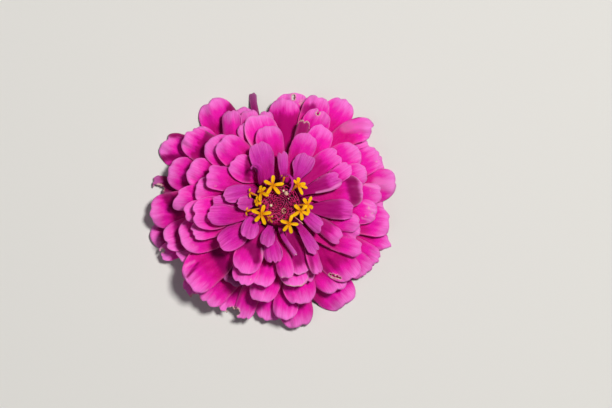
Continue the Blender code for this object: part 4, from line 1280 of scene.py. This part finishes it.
def plain_plant_material(name, dark, pale, scale, rough=0.6, crown=None):
    """Mottled tissue; above crown's height it turns to crown's colour."""
    m, t, s = new_material(name, rough, 0.0, 0.0, (1, 1, 1), 0.001, 0.35)
    place = node(t, "ShaderNodeTexCoord")
    n = node(t, "ShaderNodeTexNoise", Scale=scale, Detail=5.0)
    t.links.new(place.outputs["Object"], n.inputs["Vector"])
    c = mix(t, ramp(t, n.outputs[0], (0.35, 0.65, 0, 1)), dark, pale)
    if crown:
        split = node(t, "ShaderNodeSeparateXYZ")
        t.links.new(place.outputs["Object"], split.inputs[0])
        c = mix(t, ramp(t, split.outputs["Z"], (crown[0], crown[1], 0, 1)), c, crown[2])
    t.links.new(c, s.inputs["Base Color"])
    b = node(t, "ShaderNodeBump", Strength=0.5, Distance=0.0001)
    t.links.new(n.outputs[0], b.inputs["Height"])
    t.links.new(b.outputs[0], s.inputs["Normal"])
    return m


def build_disc_and_green():
    # The lobes darken to orange at their bases: painted shade in the florets' throats.
    lobe = disc_material("disc_lobe", (0.74, 0.20, 0.002), (0.94, 0.45, 0.001),
                         (0.97, 0.56, 0.003))
    neck = disc_material("disc_tube", (0.45, 0.30, 0.06), (0.62, 0.26, 0.02),
                         (0.72, 0.22, 0.006))
    anther = disc_material("disc_anther", (0.35, 0.10, 0.01), (0.45, 0.14, 0.010),
                           (0.85, 0.45, 0.02))
    dry = disc_material("disc_lobe_dry", (0.30, 0.08, 0.01), (0.62, 0.22, 0.02),
                        (0.80, 0.42, 0.05))
    for k, row in enumerate(STARS):
        ob = star_floret("disc_star_%d" % (k + 1), row, [lobe, neck, anther])
        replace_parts(ob, "disc_floret_%d" % (k + 1))
    for k, row in enumerate(SPENT):
        star_floret("disc_spent_%d" % (k + 1), row, [dry if k == 0 else lobe, neck, anther],
                    True)
    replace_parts(scales_of_the_disc(scale_material()), "disc_chaff")
    buds([disc_material("disc_bud", (0.30, 0.35, 0.10), (0.62, 0.62, 0.28),
                        (0.82, 0.78, 0.50)),
          disc_material("disc_bud_pink", (0.40, 0.20, 0.12), (0.60, 0.30, 0.22),
                        (0.72, 0.50, 0.38))])
    bracts(bract_material())
    stem_piece([plain_plant_material("stem_skin", (0.045, 0.10, 0.018), (0.12, 0.20, 0.05), 300.0),
                plain_plant_material("stem_cut_face", (0.30, 0.36, 0.16), (0.52, 0.56, 0.32),
                                     500.0, 0.45)])
    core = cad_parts["receptacle"]
    m = plain_plant_material("receptacle_tissue", (0.22, 0.30, 0.09), (0.36, 0.42, 0.17),
                             250.0, 0.6, (0.0112, 0.0140, (0.16, 0.003, 0.045)))
    for slot in core.material_slots:
        slot.material = m


# The narrow petals that curl over the rim of the disc: letter, then for each point of the
# middle line its x, y, height in mm, width, and how far the sheet is turned on edge in degrees.
CURLED = [
    ("m", [(-10.5, 25.0, 21.0, 5.5, 5), (-11.5, 31.0, 23.2, 6.0, 10), (-12.0, 37.5, 24.6, 5.5, 20),
           (-13.5, 43.0, 25.2, 4.6, 40), (-17.0, 44.5, 25.3, 3.4, 60), (-20.0, 42.5, 24.9, 2.6, 65),
           (-20.5, 40.5, 24.4, 1.2, 50)]),
    ("n", [(8.0, 33.0, 23.4, 3.2, 50), (11.5, 35.0, 24.6, 3.4, 60), (15.5, 35.5, 25.2, 3.4, 62),
           (19.5, 32.0, 25.4, 3.2, 62), (20.5, 26.5, 25.3, 3.0, 60), (19.0, 21.5, 25.0, 2.4, 55),
           (16.5, 17.5, 24.6, 1.2, 45)]),
]


def curled_petals():
    for letter, row in CURLED:
        row = np.array(row, float)
        n = 40
        t = np.linspace(0, len(row) - 1, n + 1)
        matrix = spline_matrix(len(row) - 1, n)
        x, y, z, wide, turn = (matrix @ row[:, k] for k in range(5))
        line = np.stack([x * UNIT, y * UNIT, z], 1)
        slope = np.gradient(line, axis=0)
        slope /= np.linalg.norm(slope, axis=1)[:, None]
        flat = np.stack([slope[:, 1], -slope[:, 0], 0 * x], 1)
        flat /= np.linalg.norm(flat, axis=1)[:, None]
        up = np.cross(flat, slope)
        a = np.radians(turn)[:, None]
        side = flat * np.cos(a) + up * np.sin(a)
        over = np.cross(side, slope)
        half = 0.5 * wide[:, None] * UNIT
        bm = bmesh.new()
        pts = []
        for j in range(n + 1):
            for i in range(13):
                u = 2 * i / 12 - 1
                pts.append(line[j] + side[j] * half[j] * u - over[j] * half[j] * 0.45 * u * u
                           + over[j] * 0.05 * math.sin(9 * u + 0.4 * j))
        shell(bm, pts, 12, n, 0.20, 0)
        look = Petal.__new__(Petal)
        look.whorl, look.letter, look.opt, look.seed = 7, letter, {"rim": 0.5}, 700 + ord(letter)
        look.run = float(np.linalg.norm(np.diff(line, axis=0), axis=1).sum())
        ob = object_from(bm, "petal_curled_" + letter, [petal_material(look)])
        layer = ob.data.uv_layers[0]
        layer.name = "petal"
        for loop in layer.data:
            loop.uv = (0.5 + (loop.uv[0] - 0.5) * 1.6 / 24.0, loop.uv[1] * look.run * 1.15 / 24.0)
    bm = bmesh.new()
    tube(bm, curve((22.0 * UNIT, -7.0 * UNIT, 22.6), (26.0 * UNIT, -9.5 * UNIT, 24.4),
                   (30.5 * UNIT, -14.0 * UNIT, 23.9), 14), [0.16] * 12 + [0.14, 0.10], 8, 0)
    object_from(bm, "disc_style_fallen", [disc_material("style_pink", (0.55, 0.10, 0.22),
                (0.72, 0.20, 0.36), (0.80, 0.30, 0.42))])


# ---------------------------------------------------------------- building
def build_petals():
    petals = []
    for whorl in PETALS:
        angles, r, z, claws = petal_bases(whorl)
        for row, angle, claw in zip(PETALS[whorl], angles, claws):
            petals.append(Petal(whorl, row, angle, r, z, claw))

    def floor(xy):
        out = np.linalg.norm(xy - axis_at(11.5), axis=1)
        return np.where(out < CUP_A + 1.6, 11.7, 0.25)

    lay_down(petals, floor, SHEET + CLEAR)
    made = {}
    for p in petals:
        made[(p.whorl, p.letter)] = petal_object(p)
    for whorl in (1, 2):
        for k, letter in enumerate(CAD_ORDER[whorl]):
            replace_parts(made[(whorl, letter)],
                        "%s_ray_floret_%02d" % (("outer", "second")[whorl - 1], k + 1))
    for (whorl, _), ob in made.items():
        if whorl > 2:
            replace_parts(ob, "ray_whorl_%d" % whorl)
    return petals, made


camera_floor_light()
petals, made = build_petals()
build_disc_and_green()
curled_petals()
